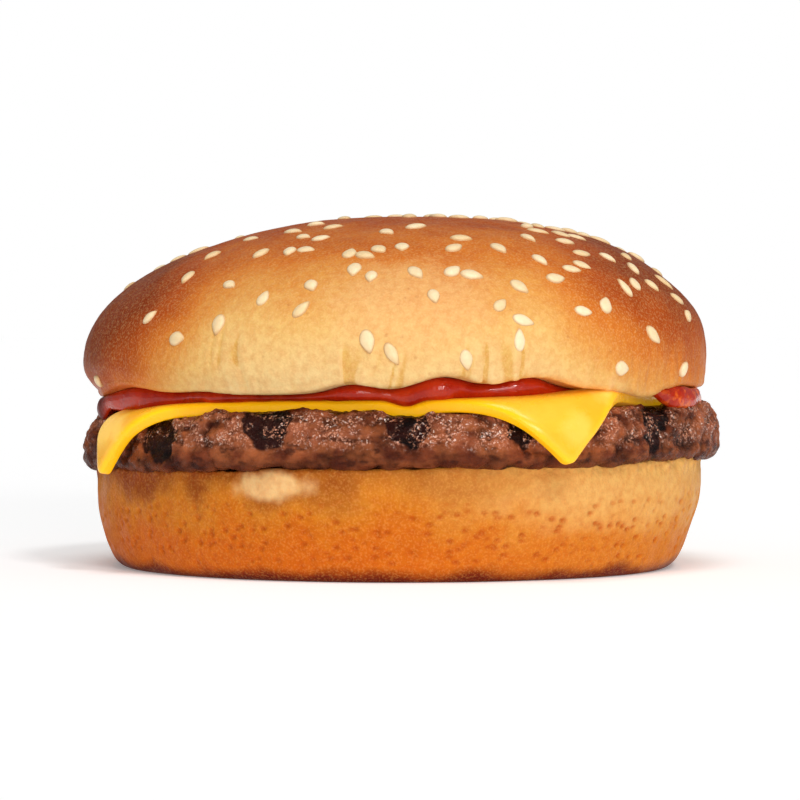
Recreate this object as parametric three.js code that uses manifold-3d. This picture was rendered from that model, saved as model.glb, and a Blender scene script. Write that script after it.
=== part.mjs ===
// A cheeseburger. From the table up: the bottom bun (heel), a grilled beef patty, a square slice of cheese
// whose four corners hang over the patty's edge, a spread layer of ketchup, and the seeded top bun (crown).
// Each layer is one closed solid that runs right through the burger and keeps CLEARANCE to its neighbours.
// Millimetres, +Z up, -Y is the front. The origin is on the table, under the middle of the burger.

import * as THREE from "three";
import { mergeVertices } from "three/addons/utils/BufferGeometryUtils.js";
import Module from "manifold-3d";

const wasm = await Module();
wasm.setup();

// ---- Driving dimensions ----

const BURGER_HEIGHT = 56;
const HEEL_HEIGHT = 16.9;
const PATTY_THICKNESS = 8;
const SLICE_THICKNESS = 1.8;
const SAUCE_THICKNESS = 0.45;
const CLEARANCE = 0.25;

const HEEL_RADIUS = 48.8;
const PATTY_RADIUS = 50.9;
const SLICE_SIDE = 83.5;
const SAUCE_RADIUS = 43;
const CROWN_RADIUS = 50;

// The stack above the heel leans: it rises to the right and to the front.
const RISE_TO_RIGHT = 0.017;
const RISE_TO_FRONT = 0.013;

// ---- Levels, worked out from the table up, on the burger's axis ----

const PATTY_UNDER = HEEL_HEIGHT + CLEARANCE;
const PATTY_TOP = PATTY_UNDER + PATTY_THICKNESS;
const SLICE_UNDER = PATTY_TOP + CLEARANCE;
const SLICE_TOP = SLICE_UNDER + SLICE_THICKNESS;
const SAUCE_UNDER = SLICE_TOP + CLEARANCE;
const SAUCE_TOP = SAUCE_UNDER + SAUCE_THICKNESS;
const CROWN_UNDER = SAUCE_TOP + CLEARANCE;

// ---- Small helpers ----

const radians = (degrees) => (degrees * Math.PI) / 180;

// The signed way round from one bearing to another, at most half a turn.
const around = (bearing, from) => Math.atan2(Math.sin(bearing - from), Math.cos(bearing - from));

// 0 before start, 1 after end, and an S-curve between them.
function ease(start, end, at) {
  const t = Math.min(1, Math.max(0, (at - start) / (end - start)));
  return t * t * (3 - 2 * t);
}

// A bell of height 1 that has fallen to 0.37 one width from its middle.
const bell = (offset, width) => Math.exp(-((offset / width) ** 2));

// A wavy ring: each term is [waves round the ring, height, bearing of one crest in degrees].
function ripple(bearing, terms) {
  let sum = 0;
  for (const [waves, height, crest] of terms) sum += height * Math.cos(waves * (bearing - radians(crest)));
  return sum;
}

const lean = (x, y) => RISE_TO_RIGHT * x - RISE_TO_FRONT * y;
const leaned = (x, y, height) => height + lean(x, y);

// A closed round solid. profile(bearing) gives [radius, height] points from the axis at the bottom, out, up
// and back to the axis at the top. lift(x, y, height) gives the final height of each point.
function roundSolid(sectors, profile, lift = (x, y, height) => height) {
  const columns = [];
  for (let i = 0; i < sectors; i++) {
    const bearing = (i / sectors) * 2 * Math.PI;
    columns.push(
      profile(bearing).map(([radius, height]) => {
        const x = radius * Math.cos(bearing);
        const y = radius * Math.sin(bearing);
        return [x, y, lift(x, y, height)];
      }),
    );
  }
  const last = columns[0].length - 1;
  const positions = [columns[0][0], columns[0][last]].flat();
  for (const column of columns) positions.push(...column.slice(1, last).flat());
  const ring = last - 1;
  const at = (sector, level) => 2 + (sector % sectors) * ring + level;
  const faces = [];
  for (let i = 0; i < sectors; i++) {
    faces.push(0, at(i + 1, 0), at(i, 0));
    faces.push(1, at(i, ring - 1), at(i + 1, ring - 1));
    for (let level = 0; level < ring - 1; level++) {
      const [a, b] = [at(i, level), at(i + 1, level)];
      const [c, d] = [at(i + 1, level + 1), at(i, level + 1)];
      faces.push(a, b, c, a, c, d);
    }
  }
  const geometry = new THREE.BufferGeometry();
  geometry.setAttribute("position", new THREE.Float32BufferAttribute(positions, 3));
  geometry.setIndex(faces);
  return geometry;
}

// Points along a quarter of a circle from an angle on, as [outward, upward] shares of its radius: from 270
// degrees it turns from straight down to straight out, from 0 degrees from straight out to straight up.
function quarterRound(steps, fromDegrees) {
  return Array.from({ length: steps + 1 }, (_, i) => {
    const angle = radians(fromDegrees + (90 * i) / steps);
    return [Math.cos(angle), Math.sin(angle)];
  });
}

// ---- Solids to and from the boolean library ----

function toSolid(geometry) {
  const bare = geometry.clone();
  bare.deleteAttribute("normal");
  bare.deleteAttribute("uv");
  const merged = mergeVertices(bare, 1e-4);
  return new wasm.Manifold(
    new wasm.Mesh({
      numProp: 3,
      vertProperties: merged.attributes.position.array,
      triVerts: new Uint32Array(merged.index.array),
    }),
  );
}

function toGeometry(solid) {
  const mesh = solid.getMesh();
  const geometry = new THREE.BufferGeometry();
  geometry.setAttribute("position", new THREE.Float32BufferAttribute(mesh.vertProperties, 3));
  geometry.setIndex(new THREE.BufferAttribute(mesh.triVerts, 1));
  return geometry;
}

// ---- Heel: the bottom bun ----

const HEEL_SECTORS = 48;
const HEEL_FLARE_TOP = 13; // above this height the side stands upright
const HEEL_FLARE = { straight: 1, curved: 2.6, power: 2.5 }; // how much narrower the side is at the table
const FOOT_ROUND = { across: 1.4, up: 2.1 };
const HEEL_RIM_ROUND = 0.6;
const HEEL_RIPPLES = [
  [2, 0.25, 100],
  [3, 0.25, 200],
  [5, 0.15, 40],
];

function heelRadius(bearing, height) {
  const narrow = Math.max(0, 1 - height / HEEL_FLARE_TOP);
  const flare = HEEL_FLARE.straight * narrow + HEEL_FLARE.curved * narrow ** HEEL_FLARE.power;
  const low = Math.max(0, 1 - height / FOOT_ROUND.up);
  const foot = FOOT_ROUND.across * (1 - Math.sqrt(1 - low * low));
  return HEEL_RADIUS + ripple(bearing, HEEL_RIPPLES) - flare - foot;
}

function makeHeel() {
  const sideHeights = [0, 0.4, 1.3, 3, 6, 10, HEEL_HEIGHT - HEEL_RIM_ROUND];
  const profile = (bearing) => {
    const side = sideHeights.map((height) => [heelRadius(bearing, height), height]);
    const rim = side[side.length - 1][0] - HEEL_RIM_ROUND;
    const edge = quarterRound(2, 0)
      .slice(1)
      .map(([out, up]) => [rim + out * HEEL_RIM_ROUND, HEEL_HEIGHT - HEEL_RIM_ROUND * (1 - up)]);
    return [[0, 0], ...side, ...edge, [rim * 0.5, HEEL_HEIGHT], [0, HEEL_HEIGHT]];
  };
  const lift = (x, y, height) => height + (lean(x, y) * height) / HEEL_HEIGHT;
  return roundSolid(HEEL_SECTORS, profile, lift);
}

// ---- Patty: rugged edge, and grill marks pressed into the top and over the edge ----

const PATTY_SECTORS = 72;
const PATTY_UPPER_ROUND = 4.85;
const PATTY_SQUARER = { by: 1.8, bearing: -6, width: 20 }; // the right end's shoulder is less round
const PATTY_LOWER_ROUND = 2.2;
// Where the outline is drawn in or swells: bearing and half width in degrees, and how far out.
const PATTY_SWELLS = [
  [-157, 18, -1], // behind the cheese's left corner
  [178, 12, 0.9],
];
const PATTY_RIPPLES = [
  [1, 0.4, 0],
  [2, 0.2, 20],
  [3, 0.25, 75],
  [5, 0.25, 12],
];
// Dents that the minced meat leaves round the edge: waves round the patty, depth, and how far each wave
// slants, in radians, from the patty's bottom to its top.
const PATTY_DENTS = [
  [13, 0.35, 2],
  [19, 0.3, -7],
  [31, 0.25, 9],
];
const GRILL_MARKS = [-37.4, -19.9, 1, 21, 39.3];
const GRILL_MARK = { width: 5.4, depth: 0.9, share: 0.6 }; // share of the patty's side that it runs down

// The patty's outline, which its dents never cross.
const pattyRadius = (bearing) =>
  PATTY_SWELLS.reduce(
    (sum, [at, width, by]) => sum + by * bell(around(bearing, radians(at)), radians(width)),
    PATTY_RADIUS + ripple(bearing, PATTY_RIPPLES),
  );

// How far the edge is pressed in at a bearing and a share of the patty's thickness.
function pattyDent(bearing, share) {
  const depth = PATTY_DENTS.reduce(
    (sum, [waves, most, slant]) => sum + (most * (1 - Math.cos(waves * bearing + slant * share))) / 2,
    0,
  );
  return depth * Math.sin(Math.PI * share);
}

const pattyUpperRound = (bearing) =>
  PATTY_UPPER_ROUND -
  PATTY_SQUARER.by * bell(around(bearing, radians(PATTY_SQUARER.bearing)), radians(PATTY_SQUARER.width));

// How far the patty's top has dropped below its flat part at this radius.
function pattyShoulder(radius, bearing) {
  const round = pattyUpperRound(bearing);
  const past = Math.max(0, radius - (pattyRadius(bearing) - round));
  return round - Math.sqrt(Math.max(0, round ** 2 - past ** 2));
}

// The patty without its grill marks, or what is left of it once its side and top are pared by an inset.
function pattyBody(inset) {
  const profile = (bearing) => {
    const rim = pattyRadius(bearing) - inset;
    const lower = quarterRound(3, 270).map(([out, up]) => [
      rim + (out - 1) * PATTY_LOWER_ROUND,
      PATTY_UNDER + (1 + up) * PATTY_LOWER_ROUND,
    ]);
    const upperRound = pattyUpperRound(bearing);
    const upper = quarterRound(4, 0).map(([out, up]) => [
      rim + (out - 1) * upperRound,
      PATTY_TOP - inset - (1 - up) * upperRound,
    ]);
    const edge = [...lower, ...upper].map(([radius, height]) => {
      const share = (height - PATTY_UNDER) / PATTY_THICKNESS;
      return [radius - pattyDent(bearing, share), height];
    });
    return [[0, PATTY_UNDER], ...edge, [0, PATTY_TOP - inset]];
  };
  return toSolid(roundSolid(PATTY_SECTORS, profile, leaned));
}

// One bar of the grill, along Y, from part of the way up the patty to well above it.
function grillBar(x) {
  const tall = 2 * PATTY_THICKNESS;
  const bar = new THREE.BoxGeometry(GRILL_MARK.width, 3 * PATTY_RADIUS, tall);
  const low = PATTY_UNDER + (1 - GRILL_MARK.share) * PATTY_THICKNESS + lean(x, 0);
  return toSolid(bar.translate(x, 0, low + tall / 2));
}

function makePatty() {
  const pared = pattyBody(GRILL_MARK.depth);
  let patty = pattyBody(0);
  for (const x of GRILL_MARKS) patty = patty.subtract(grillBar(x).subtract(pared));
  return toGeometry(patty);
}

// ---- Cheese: a square slice that bends over the patty's edge and hangs at its corners ----

const SLICE_STEPS = 22;
const SLICE_CROWDING = 0.85; // how much closer the slice's rows lie near its edges, 0 to 1
const SLICE_TURN = radians(-61.5) + Math.PI / 4; // one corner hangs at the front, a little to the right
const SLICE_CORNER_ROUND = 1.7;
const SLICE_DRAWN_IN = { by: 4.6, over: 13 }; // how the left edge recedes behind the corner at the front left
const BEND_RADIUS = 5;
const BEND_STARTS_BEFORE_RIM = 4.2;
const HANG_ANGLE = radians(80);
// The slice sinks into the middle grill mark where its front edge crosses it.
const SLICE_DIP = { x: 1, width: 1.6, depth: 0.8, from: 30, to: 40 };

const sliceDip = (x, y) =>
  SLICE_DIP.depth * bell(x - SLICE_DIP.x, SLICE_DIP.width) * ease(SLICE_DIP.from, SLICE_DIP.to, -y);

// Turns a point by an angle about the burger's axis.
const turned = (x, y, angle) => [
  x * Math.cos(angle) - y * Math.sin(angle),
  x * Math.sin(angle) + y * Math.cos(angle),
];

// Half the slice's width towards its left edge, at a place b along that edge.
const sliceLeft = (b) =>
  SLICE_SIDE / 2 - SLICE_DRAWN_IN.by * ease(0, SLICE_DRAWN_IN.over, b + SLICE_SIDE / 2);

// A point of the slice: (a, b) on a flat square, and up through its thickness, 0 to SLICE_THICKNESS.
function slicePoint(a, b, up) {
  const drawnA = a < 0 ? (a * sliceLeft(b)) / (SLICE_SIDE / 2) : a;
  const [flatX, flatY] = turned(drawnA, b, SLICE_TURN);
  const along = Math.hypot(flatX, flatY);
  const bearing = Math.atan2(flatY, flatX);
  const bendStart = pattyRadius(bearing) - BEND_STARTS_BEFORE_RIM;
  const past = Math.max(0, along - bendStart);
  const angle = Math.min(HANG_ANGLE, past / BEND_RADIUS);
  const straight = Math.max(0, past - HANG_ANGLE * BEND_RADIUS);
  const radius =
    Math.min(along, bendStart) + (BEND_RADIUS + up) * Math.sin(angle) + straight * Math.cos(HANG_ANGLE);
  const drop = (BEND_RADIUS + up) * (1 - Math.cos(angle)) + straight * Math.sin(HANG_ANGLE);
  const x = radius * Math.cos(bearing);
  const y = radius * Math.sin(bearing);
  return [x, y, SLICE_UNDER + up - drop + lean(x, y) - sliceDip(x, y)];
}

function makeCheese() {
  const half = SLICE_SIDE / 2;
  const steps = SLICE_STEPS;
  const crowding = (Math.PI / 2) * SLICE_CROWDING;
  const spread = (i) => Math.sin((i / steps - 0.5) * 2 * crowding) / Math.sin(crowding);
  const positions = [];
  for (const up of [0, SLICE_THICKNESS])
    for (let i = 0; i <= steps; i++)
      for (let j = 0; j <= steps; j++) {
        let [a, b] = [spread(i) * half, spread(j) * half];
        // Points near a corner are drawn in to its rounding.
        const outA = Math.max(0, Math.abs(a) - (half - SLICE_CORNER_ROUND));
        const outB = Math.max(0, Math.abs(b) - (half - SLICE_CORNER_ROUND));
        const out = Math.hypot(outA, outB);
        const shrink = out > 0 ? Math.max(outA, outB) / out : 1;
        a -= Math.sign(a) * outA * (1 - shrink);
        b -= Math.sign(b) * outB * (1 - shrink);
        positions.push(...slicePoint(a, b, up));
      }
  const at = (layer, i, j) => (layer * (steps + 1) + i) * (steps + 1) + j;
  const faces = [];
  for (let i = 0; i < steps; i++)
    for (let j = 0; j < steps; j++) {
      for (const layer of [0, 1]) {
        const [a, b] = [at(layer, i, j), at(layer, i + 1, j)];
        const [c, d] = [at(layer, i + 1, j + 1), at(layer, i, j + 1)];
        faces.push(...(layer === 1 ? [a, b, c, a, c, d] : [a, c, b, a, d, c]));
      }
    }
  for (let i = 0; i < steps; i++) {
    const edges = [
      [at(0, i, 0), at(0, i + 1, 0), at(1, i + 1, 0), at(1, i, 0)],
      [at(0, steps, i), at(0, steps, i + 1), at(1, steps, i + 1), at(1, steps, i)],
      [at(0, i + 1, steps), at(0, i, steps), at(1, i, steps), at(1, i + 1, steps)],
      [at(0, 0, i + 1), at(0, 0, i), at(1, 0, i), at(1, 0, i + 1)],
    ];
    for (const [a, b, c, d] of edges) faces.push(a, b, c, a, c, d);
  }
  const geometry = new THREE.BufferGeometry();
  geometry.setAttribute("position", new THREE.Float32BufferAttribute(positions, 3));
  geometry.setIndex(faces);
  return geometry;
}

// ---- Ketchup: spread under the crown, with lobes that swell out and push the crown's edge up ----

const SAUCE_SECTORS = 60; // the crown's too, so that its underside fits the ketchup
// Each lobe: bearing and half width in degrees, reach past SAUCE_RADIUS, and height above SAUCE_TOP.
const SAUCE_LOBES = [
  [-170, 12, 6.5, -0.5],
  [-152, 12, 3.4, 1.4],
  [-130, 7, 2.2, 0.6],
  [-99, 6, 2.2, 1.4],
  [-82, 7, 3.2, 2.3],
  [-65, 8, 2.8, 2],
  [-26, 9, 0.8, 0.6],
  [-14, 18, 6.1, -0.6],
  [22, 10, 2, 0.8],
  [50, 9, 3, 1.8],
  [84, 12, 1.8, 0.9],
  [117, 8, 2.8, 2],
  [145, 10, 1.6, 1.1],
];
const SAUCE_LIFT = { from: 26, to: 43 };
const SAUCE_OFF_SLICE = { from: 2.3, to: 5 };
const SAUCE_RINGS = [13, 26, 34, 39.5];
const SAUCE_EDGE = 0.9; // width of its rounded edge

// The lobes' sum at a bearing: pick 2 for their reach, 3 for their height.
function sauceLobes(bearing, pick) {
  let sum = 0;
  for (const lobe of SAUCE_LOBES) {
    sum += lobe[pick] * bell(around(bearing, radians(lobe[0])), radians(lobe[1]));
  }
  return sum;
}

const sauceRadius = (bearing) => SAUCE_RADIUS + sauceLobes(bearing, 2);

// Top of the ketchup, and so the shape of the crown's underside, before the lean.
function sauceTop(radius, bearing) {
  return SAUCE_TOP + sauceLobes(bearing, 3) * ease(SAUCE_LIFT.from, SAUCE_LIFT.to, radius);
}

// What the ketchup lies on: the slice, and past the slice's edge the patty's top and shoulder.
function sauceUnder(radius, bearing) {
  const [a, b] = turned(radius * Math.cos(bearing), radius * Math.sin(bearing), -SLICE_TURN);
  const offSlice = Math.max(a - SLICE_SIDE / 2, -a - sliceLeft(b), Math.abs(b) - SLICE_SIDE / 2);
  const fall = ease(SAUCE_OFF_SLICE.from, SAUCE_OFF_SLICE.to, offSlice);
  const toPatty = SAUCE_UNDER - PATTY_TOP - CLEARANCE + pattyShoulder(radius, bearing);
  return SAUCE_UNDER - fall * toPatty;
}

function makeKetchup() {
  const profile = (bearing) => {
    const rim = sauceRadius(bearing);
    const last = rim - SAUCE_EDGE;
    const outer = SAUCE_RINGS.at(-1);
    const radii = [...SAUCE_RINGS, ...[0.35, 0.65, 0.85, 1].map((share) => outer + share * (last - outer))];
    const under = radii.map((radius) => [radius, sauceUnder(radius, bearing)]);
    const over = radii.map((radius) => [radius, sauceTop(radius, bearing)]).reverse();
    const [low, high] = [sauceUnder(last, bearing), sauceTop(last, bearing)];
    return [[0, SAUCE_UNDER], ...under, [rim, (low + high) / 2], ...over, [0, SAUCE_TOP]];
  };
  return roundSolid(SAUCE_SECTORS, profile, leaned);
}

// ---- Crown: the top bun, a dome that has slumped a little to the left ----

const CROWN_SIDEWAYS = -0.5; // the crown reaches this much further to the left than to the right
const WIDEST_HEIGHT = { middle: 33.2, right: 0.8 };
const DOME_FULLNESS = { middle: 2.2, right: 0.2 };
const TUCK = { middle: 1.4, left: 0.9 }; // how far the lower edge is drawn in under the widest part
// A shallow hollow in the right shoulder, sizes in millimetres and degrees.
const HOLLOW = { depth: 1.3, bearing: -4, width: 26, height: 47, rise: 4.5 };
const CROWN_LIP_ROUND = 1.1;
// The lower edge sags on to the patty where the slice ends at the front right.
const CROWN_SAG = { by: 2, bearing: -38, width: 7, from: 45.5, to: 47.8 };
const CROWN_RIPPLES = [
  [3, 0.2, 60],
  [4, 0.2, 10],
  [7, 0.12, 33],
];

const widestHeight = (bearing) => WIDEST_HEIGHT.middle + WIDEST_HEIGHT.right * Math.cos(bearing);
const crownRadius = (bearing) =>
  CROWN_RADIUS + CROWN_SIDEWAYS * Math.cos(bearing) + ripple(bearing, CROWN_RIPPLES);

const domeFullness = (bearing) => DOME_FULLNESS.middle + DOME_FULLNESS.right * Math.cos(bearing);

// How far the hollow draws the crust in. It is nothing at the dome's top.
const hollow = (bearing, height) =>
  HOLLOW.depth *
  bell(around(bearing, radians(HOLLOW.bearing)), radians(HOLLOW.width)) *
  bell(height - HOLLOW.height, HOLLOW.rise);

// Height of the dome at a share of the way from its top, 0, to its widest part, 1.
function domeHeight(bearing, share) {
  const widest = widestHeight(bearing);
  return widest + (BURGER_HEIGHT - widest) * Math.cos((share * Math.PI) / 2) ** (2 / domeFullness(bearing));
}

// Radius of the crown's outside at a height, on the dome or below its widest part.
function crownRadiusAt(bearing, height) {
  const widest = widestHeight(bearing);
  if (height < widest) {
    const below = (widest - height) / (widest - CROWN_UNDER);
    return crownRadius(bearing) - (TUCK.middle - TUCK.left * Math.cos(bearing)) * below ** 2;
  }
  const fullness = domeFullness(bearing);
  const up = Math.min(1, (height - widest) / (BURGER_HEIGHT - widest));
  return crownRadius(bearing) * (1 - up ** fullness) ** (1 / fullness) - hollow(bearing, height);
}

// The point of the crust at a bearing and a height.
function crustPoint(bearing, height) {
  const radius = crownRadiusAt(bearing, height);
  return new THREE.Vector3(radius * Math.cos(bearing), radius * Math.sin(bearing), height);
}

const crownSag = (radius, bearing) =>
  CROWN_SAG.by *
  bell(around(bearing, radians(CROWN_SAG.bearing)), radians(CROWN_SAG.width)) *
  ease(CROWN_SAG.from, CROWN_SAG.to, radius);

function makeCrownBread() {
  const domeShares = [1, 0.95, 0.83, 0.7, 0.57, 0.45, 0.33, 0.22, 0.11];
  const profile = (bearing) => {
    const underside = (radius) => {
      const [x, y] = [radius * Math.cos(bearing), radius * Math.sin(bearing)];
      return sauceTop(radius, bearing) + CLEARANCE + lean(x, y) - crownSag(radius, bearing);
    };
    const lipUnder = underside(crownRadiusAt(bearing, CROWN_UNDER) - CROWN_LIP_ROUND);
    const lipRadius = crownRadiusAt(bearing, lipUnder + CROWN_LIP_ROUND) - CROWN_LIP_ROUND;
    const lip = quarterRound(3, 270).map(([out, up]) => [
      lipRadius + out * CROWN_LIP_ROUND,
      lipUnder + (1 + up) * CROWN_LIP_ROUND,
    ]);
    const wallFrom = lipUnder + CROWN_LIP_ROUND;
    const wallHeights = [0.35, 0.7].map((share) => wallFrom + share * (widestHeight(bearing) - wallFrom));
    const domeHeights = domeShares.map((share) => domeHeight(bearing, share));
    return [
      [0, underside(0)],
      ...[...SAUCE_RINGS, CROWN_SAG.from].map((radius) => [radius, underside(radius)]),
      ...lip,
      ...[...wallHeights, ...domeHeights].map((height) => [crownRadiusAt(bearing, height), height]),
      [0, BURGER_HEIGHT],
    ];
  };
  return roundSolid(SAUCE_SECTORS, profile);
}

// ---- Sesame seeds, fused to the crown ----

const SEED_LENGTH = 3.3;
const SEED_WIDTH = 2;
const SEED_THICKNESS = 1;
const SEED_POINT = 0.42; // how much narrower a seed is at its pointed end
const SEED_SUNK = 0.15; // how far a seed's middle lies under the crust
const SEED_COUNT = 90;
const SEED_SPACING = 2.7;
const SEED_EVENNESS = 0.56; // turns even draws into shares of the way down the dome that cover it evenly
const RANDOM = { start: 20261, times: 48271, modulus: 2147483647 };

// The seeds on the front, as seen from there: to the right, above the table, and turn in degrees.
// prettier-ignore
const FRONT_SEEDS = [
  [-47.6, 29.9, 30], [-38.9, 40.2, 50], [-34.3, 36.9, 0], [-33.1, 46.3, -65],
  [-29.5, 49.7, -80], [-27.7, 39.1, -85], [-26.2, 45.2, -20], [-23.5, 52.3, 15],
  [-21.5, 50, 85], [-20.8, 43.1, 85], [-17.1, 50.3, -70], [-16.8, 53.4, 5],
  [-15, 52.5, -10], [-14.9, 41.4, 55], [-14.5, 50.6, -10], [-13.5, 45, -60],
  [-13.3, 54.5, 30], [-12.3, 52.3, 35], [-10.5, 54.1, 45], [-7.7, 49.9, 90],
  [-7, 47.5, -85], [-5.3, 49.5, -25], [-4.9, 36.6, -75], [-4.4, 46.4, -90],
  [-3.2, 50.4, -50], [-2, 53.1, -45], [-1.2, 34.7, -60], [0.3, 50.7, -85],
  [2.4, 47, -60], [2.5, 53.9, 30], [5.1, 43.5, -80], [8, 47.3, 45],
  [8.3, 50.7, 40], [9.4, 52.1, -10], [10, 33.8, -80], [10.9, 46.7, -20],
  [15.2, 42.2, 45], [15.2, 50.7, -80], [18.1, 36.8, 85], [18.2, 45, -55],
  [18.7, 39.8, -20], [19.9, 52.2, -90], [21.5, 48.9, -80], [21.7, 53.5, -60],
  [23.8, 46.1, 0], [25.3, 53.1, 85], [25.8, 51.8, -30], [26.4, 47.5, -15],
  [27.8, 52.6, -65], [28, 41.1, -10], [28.1, 48.1, -45], [28.3, 50, -10],
  [31.5, 42, 55], [32.5, 49.4, -80], [33.8, 32.3, -5], [34.8, 44.7, 90],
  [35.7, 49.6, 45], [36.5, 45.3, 65], [36.5, 47.7, 60], [39.1, 37.3, -40],
  [39.4, 45, -70], [41.7, 45.5, -80], [43.6, 42.8, -35], [44.4, 31.9, 40],
  [45.3, 40.3, 30],
];

const FRONT_ENDS = { from: -14, to: -4 }; // where the front's own seeds give way to scattered ones, along Y

// A repeatable stream of numbers from 0 to 1.
function randomStream() {
  let state = RANDOM.start;
  return () => {
    state = (state * RANDOM.times) % RANDOM.modulus;
    return state / RANDOM.modulus;
  };
}

// How likely a seed is to have stuck here: most on the top and the right shoulder, few near the lower edge.
// The front has its own.
function seedChance(bearing, height) {
  const widest = widestHeight(bearing);
  const up = (height - widest) / (BURGER_HEIGHT - widest);
  const byHeight = 0.05 + 0.95 * ease(0.25, 0.62, up);
  const bySide = 0.72 + 0.28 * Math.cos(bearing + radians(15));
  return byHeight * bySide * ease(FRONT_ENDS.from, FRONT_ENDS.to, crustPoint(bearing, height).y);
}

// Every seed's bearing, height above the table and turn. The front ones come first.
function seedPlaces() {
  const places = FRONT_SEEDS.map(([right, height, turn]) => {
    let bearing = -Math.PI / 2;
    for (let i = 0; i < 20; i++) {
      const radius = Math.max(Math.abs(right) + 0.01, crownRadiusAt(bearing, height));
      bearing = -Math.acos(right / radius);
    }
    return { bearing, height, turn: radians(turn) };
  });
  const random = randomStream();
  const spots = places.map(({ bearing, height }) => crustPoint(bearing, height));
  while (places.length < SEED_COUNT) {
    const bearing = (random() * 2 - 1) * Math.PI;
    const height = domeHeight(bearing, (Math.asin(random() ** SEED_EVENNESS) * 2) / Math.PI);
    const sticks = random() < seedChance(bearing, height);
    const turn = random() * Math.PI;
    const spot = crustPoint(bearing, height);
    if (sticks && spots.every((other) => other.distanceTo(spot) > SEED_SPACING)) {
      places.push({ bearing, height, turn });
      spots.push(spot);
    }
  }
  return places;
}

// One seed in its own frame: pointed towards +X, flat against Z.
function seedGeometry() {
  const seed = new THREE.SphereGeometry(1, 7, 3);
  const widest = Math.sin(Math.PI / 3); // the radius of its two rings
  seed.rotateX(Math.PI / 2);
  const position = seed.attributes.position;
  for (let i = 0; i < position.count; i++) {
    const x = position.getX(i);
    const narrowing = 1 - SEED_POINT * ease(-0.2, 1, x);
    position.setXYZ(
      i,
      (x * SEED_LENGTH) / 2 / widest,
      (position.getY(i) * narrowing * SEED_WIDTH) / 2 / widest,
      (position.getZ(i) * SEED_THICKNESS) / 2,
    );
  }
  return seed;
}

// Lays a seed flat on the crust: its Z along the crust's normal, its X turned from level.
function layOnCrust(seed, { bearing, height, turn }) {
  const step = 0.02;
  const level = crustPoint(bearing + step, height).sub(crustPoint(bearing - step, height)).normalize();
  const rise = crustPoint(bearing, height + step).sub(crustPoint(bearing, height - step));
  const normal = level.clone().cross(rise).normalize();
  const forward = level.clone().applyAxisAngle(normal, turn);
  const sideways = normal.clone().cross(forward);
  const middle = crustPoint(bearing, height).addScaledVector(normal, -SEED_SUNK);
  return seed.applyMatrix4(new THREE.Matrix4().makeBasis(forward, sideways, normal).setPosition(middle));
}

function makeCrown() {
  const seeds = seedPlaces().map((place) => toSolid(layOnCrust(seedGeometry(), place)));
  return toGeometry(wasm.Manifold.union([toSolid(makeCrownBread()), ...seeds]));
}

// ---- The burger ----

const burger = new THREE.Group();
burger.name = "cheeseburger";

function addLayer(name, geometry, color, roughness) {
  geometry.computeVertexNormals();
  const mesh = new THREE.Mesh(geometry, new THREE.MeshStandardMaterial({ color, roughness, metalness: 0 }));
  mesh.name = name;
  burger.add(mesh);
}

addLayer("heel_bun", makeHeel(), 0xd9893c, 0.6);
addLayer("patty", makePatty(), 0x6b3a26, 0.5);
addLayer("cheese_slice", makeCheese(), 0xffc023, 0.35);
addLayer("ketchup", makeKetchup(), 0xa82318, 0.2);
addLayer("crown_bun", makeCrown(), 0xc9803f, 0.5);

export default burger;
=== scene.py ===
# %% [markdown]
# # A cheeseburger, layer by layer
#
# This lesson dresses a finished technical model of a cheeseburger. The model gives every layer its place and
# its size: a bottom bun (the heel), a beef patty, a cheese slice, ketchup and a top bun with seeds (the
# crown). Here each layer is made again as a fine mesh with a real food surface.

import math

import bpy
import numpy as np
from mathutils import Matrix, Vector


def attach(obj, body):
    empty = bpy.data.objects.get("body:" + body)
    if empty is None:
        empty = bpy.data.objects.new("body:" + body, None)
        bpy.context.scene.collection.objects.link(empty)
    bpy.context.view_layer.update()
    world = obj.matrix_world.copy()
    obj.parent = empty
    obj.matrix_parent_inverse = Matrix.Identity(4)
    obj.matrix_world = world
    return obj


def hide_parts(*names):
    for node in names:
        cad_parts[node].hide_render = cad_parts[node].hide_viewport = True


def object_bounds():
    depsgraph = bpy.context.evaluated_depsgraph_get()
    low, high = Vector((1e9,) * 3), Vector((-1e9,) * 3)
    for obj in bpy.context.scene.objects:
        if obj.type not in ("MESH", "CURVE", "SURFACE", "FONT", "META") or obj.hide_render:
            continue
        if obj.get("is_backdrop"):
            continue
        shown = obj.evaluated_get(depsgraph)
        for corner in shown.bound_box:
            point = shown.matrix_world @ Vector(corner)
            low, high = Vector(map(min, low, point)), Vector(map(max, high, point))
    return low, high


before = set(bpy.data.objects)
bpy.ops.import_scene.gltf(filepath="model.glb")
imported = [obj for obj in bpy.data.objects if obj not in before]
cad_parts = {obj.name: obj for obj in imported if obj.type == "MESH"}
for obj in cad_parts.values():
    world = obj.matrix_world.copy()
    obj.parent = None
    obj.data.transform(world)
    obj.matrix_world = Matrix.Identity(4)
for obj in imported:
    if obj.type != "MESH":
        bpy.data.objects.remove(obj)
cad_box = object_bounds()
MM = 0.001
print("The frame holds", ", ".join(sorted(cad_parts)))

# %% [markdown]
# ## Sizes
#
# All shapes below are worked out in millimetres from these few sizes, which are the technical model's own.
# The levels are added up from the table: heel, patty, cheese, ketchup, crown. Everything above the heel leans
# a little, because a real burger never stacks dead level.

# %% Name the driving sizes
BURGER_HEIGHT = 56
HEEL_HEIGHT = 16.9
PATTY_THICKNESS = 8
SLICE_THICKNESS = 1.8
SAUCE_THICKNESS = 0.45
CLEARANCE = 0.25

HEEL_RADIUS = 48.8
PATTY_RADIUS = 50.9
SLICE_SIDE = 83.5
SLICE_TURN = math.radians(-61.5) + math.pi / 4
SAUCE_RADIUS = 43
CROWN_RADIUS = 50

RISE_TO_RIGHT = 0.017
RISE_TO_FRONT = 0.013

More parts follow.
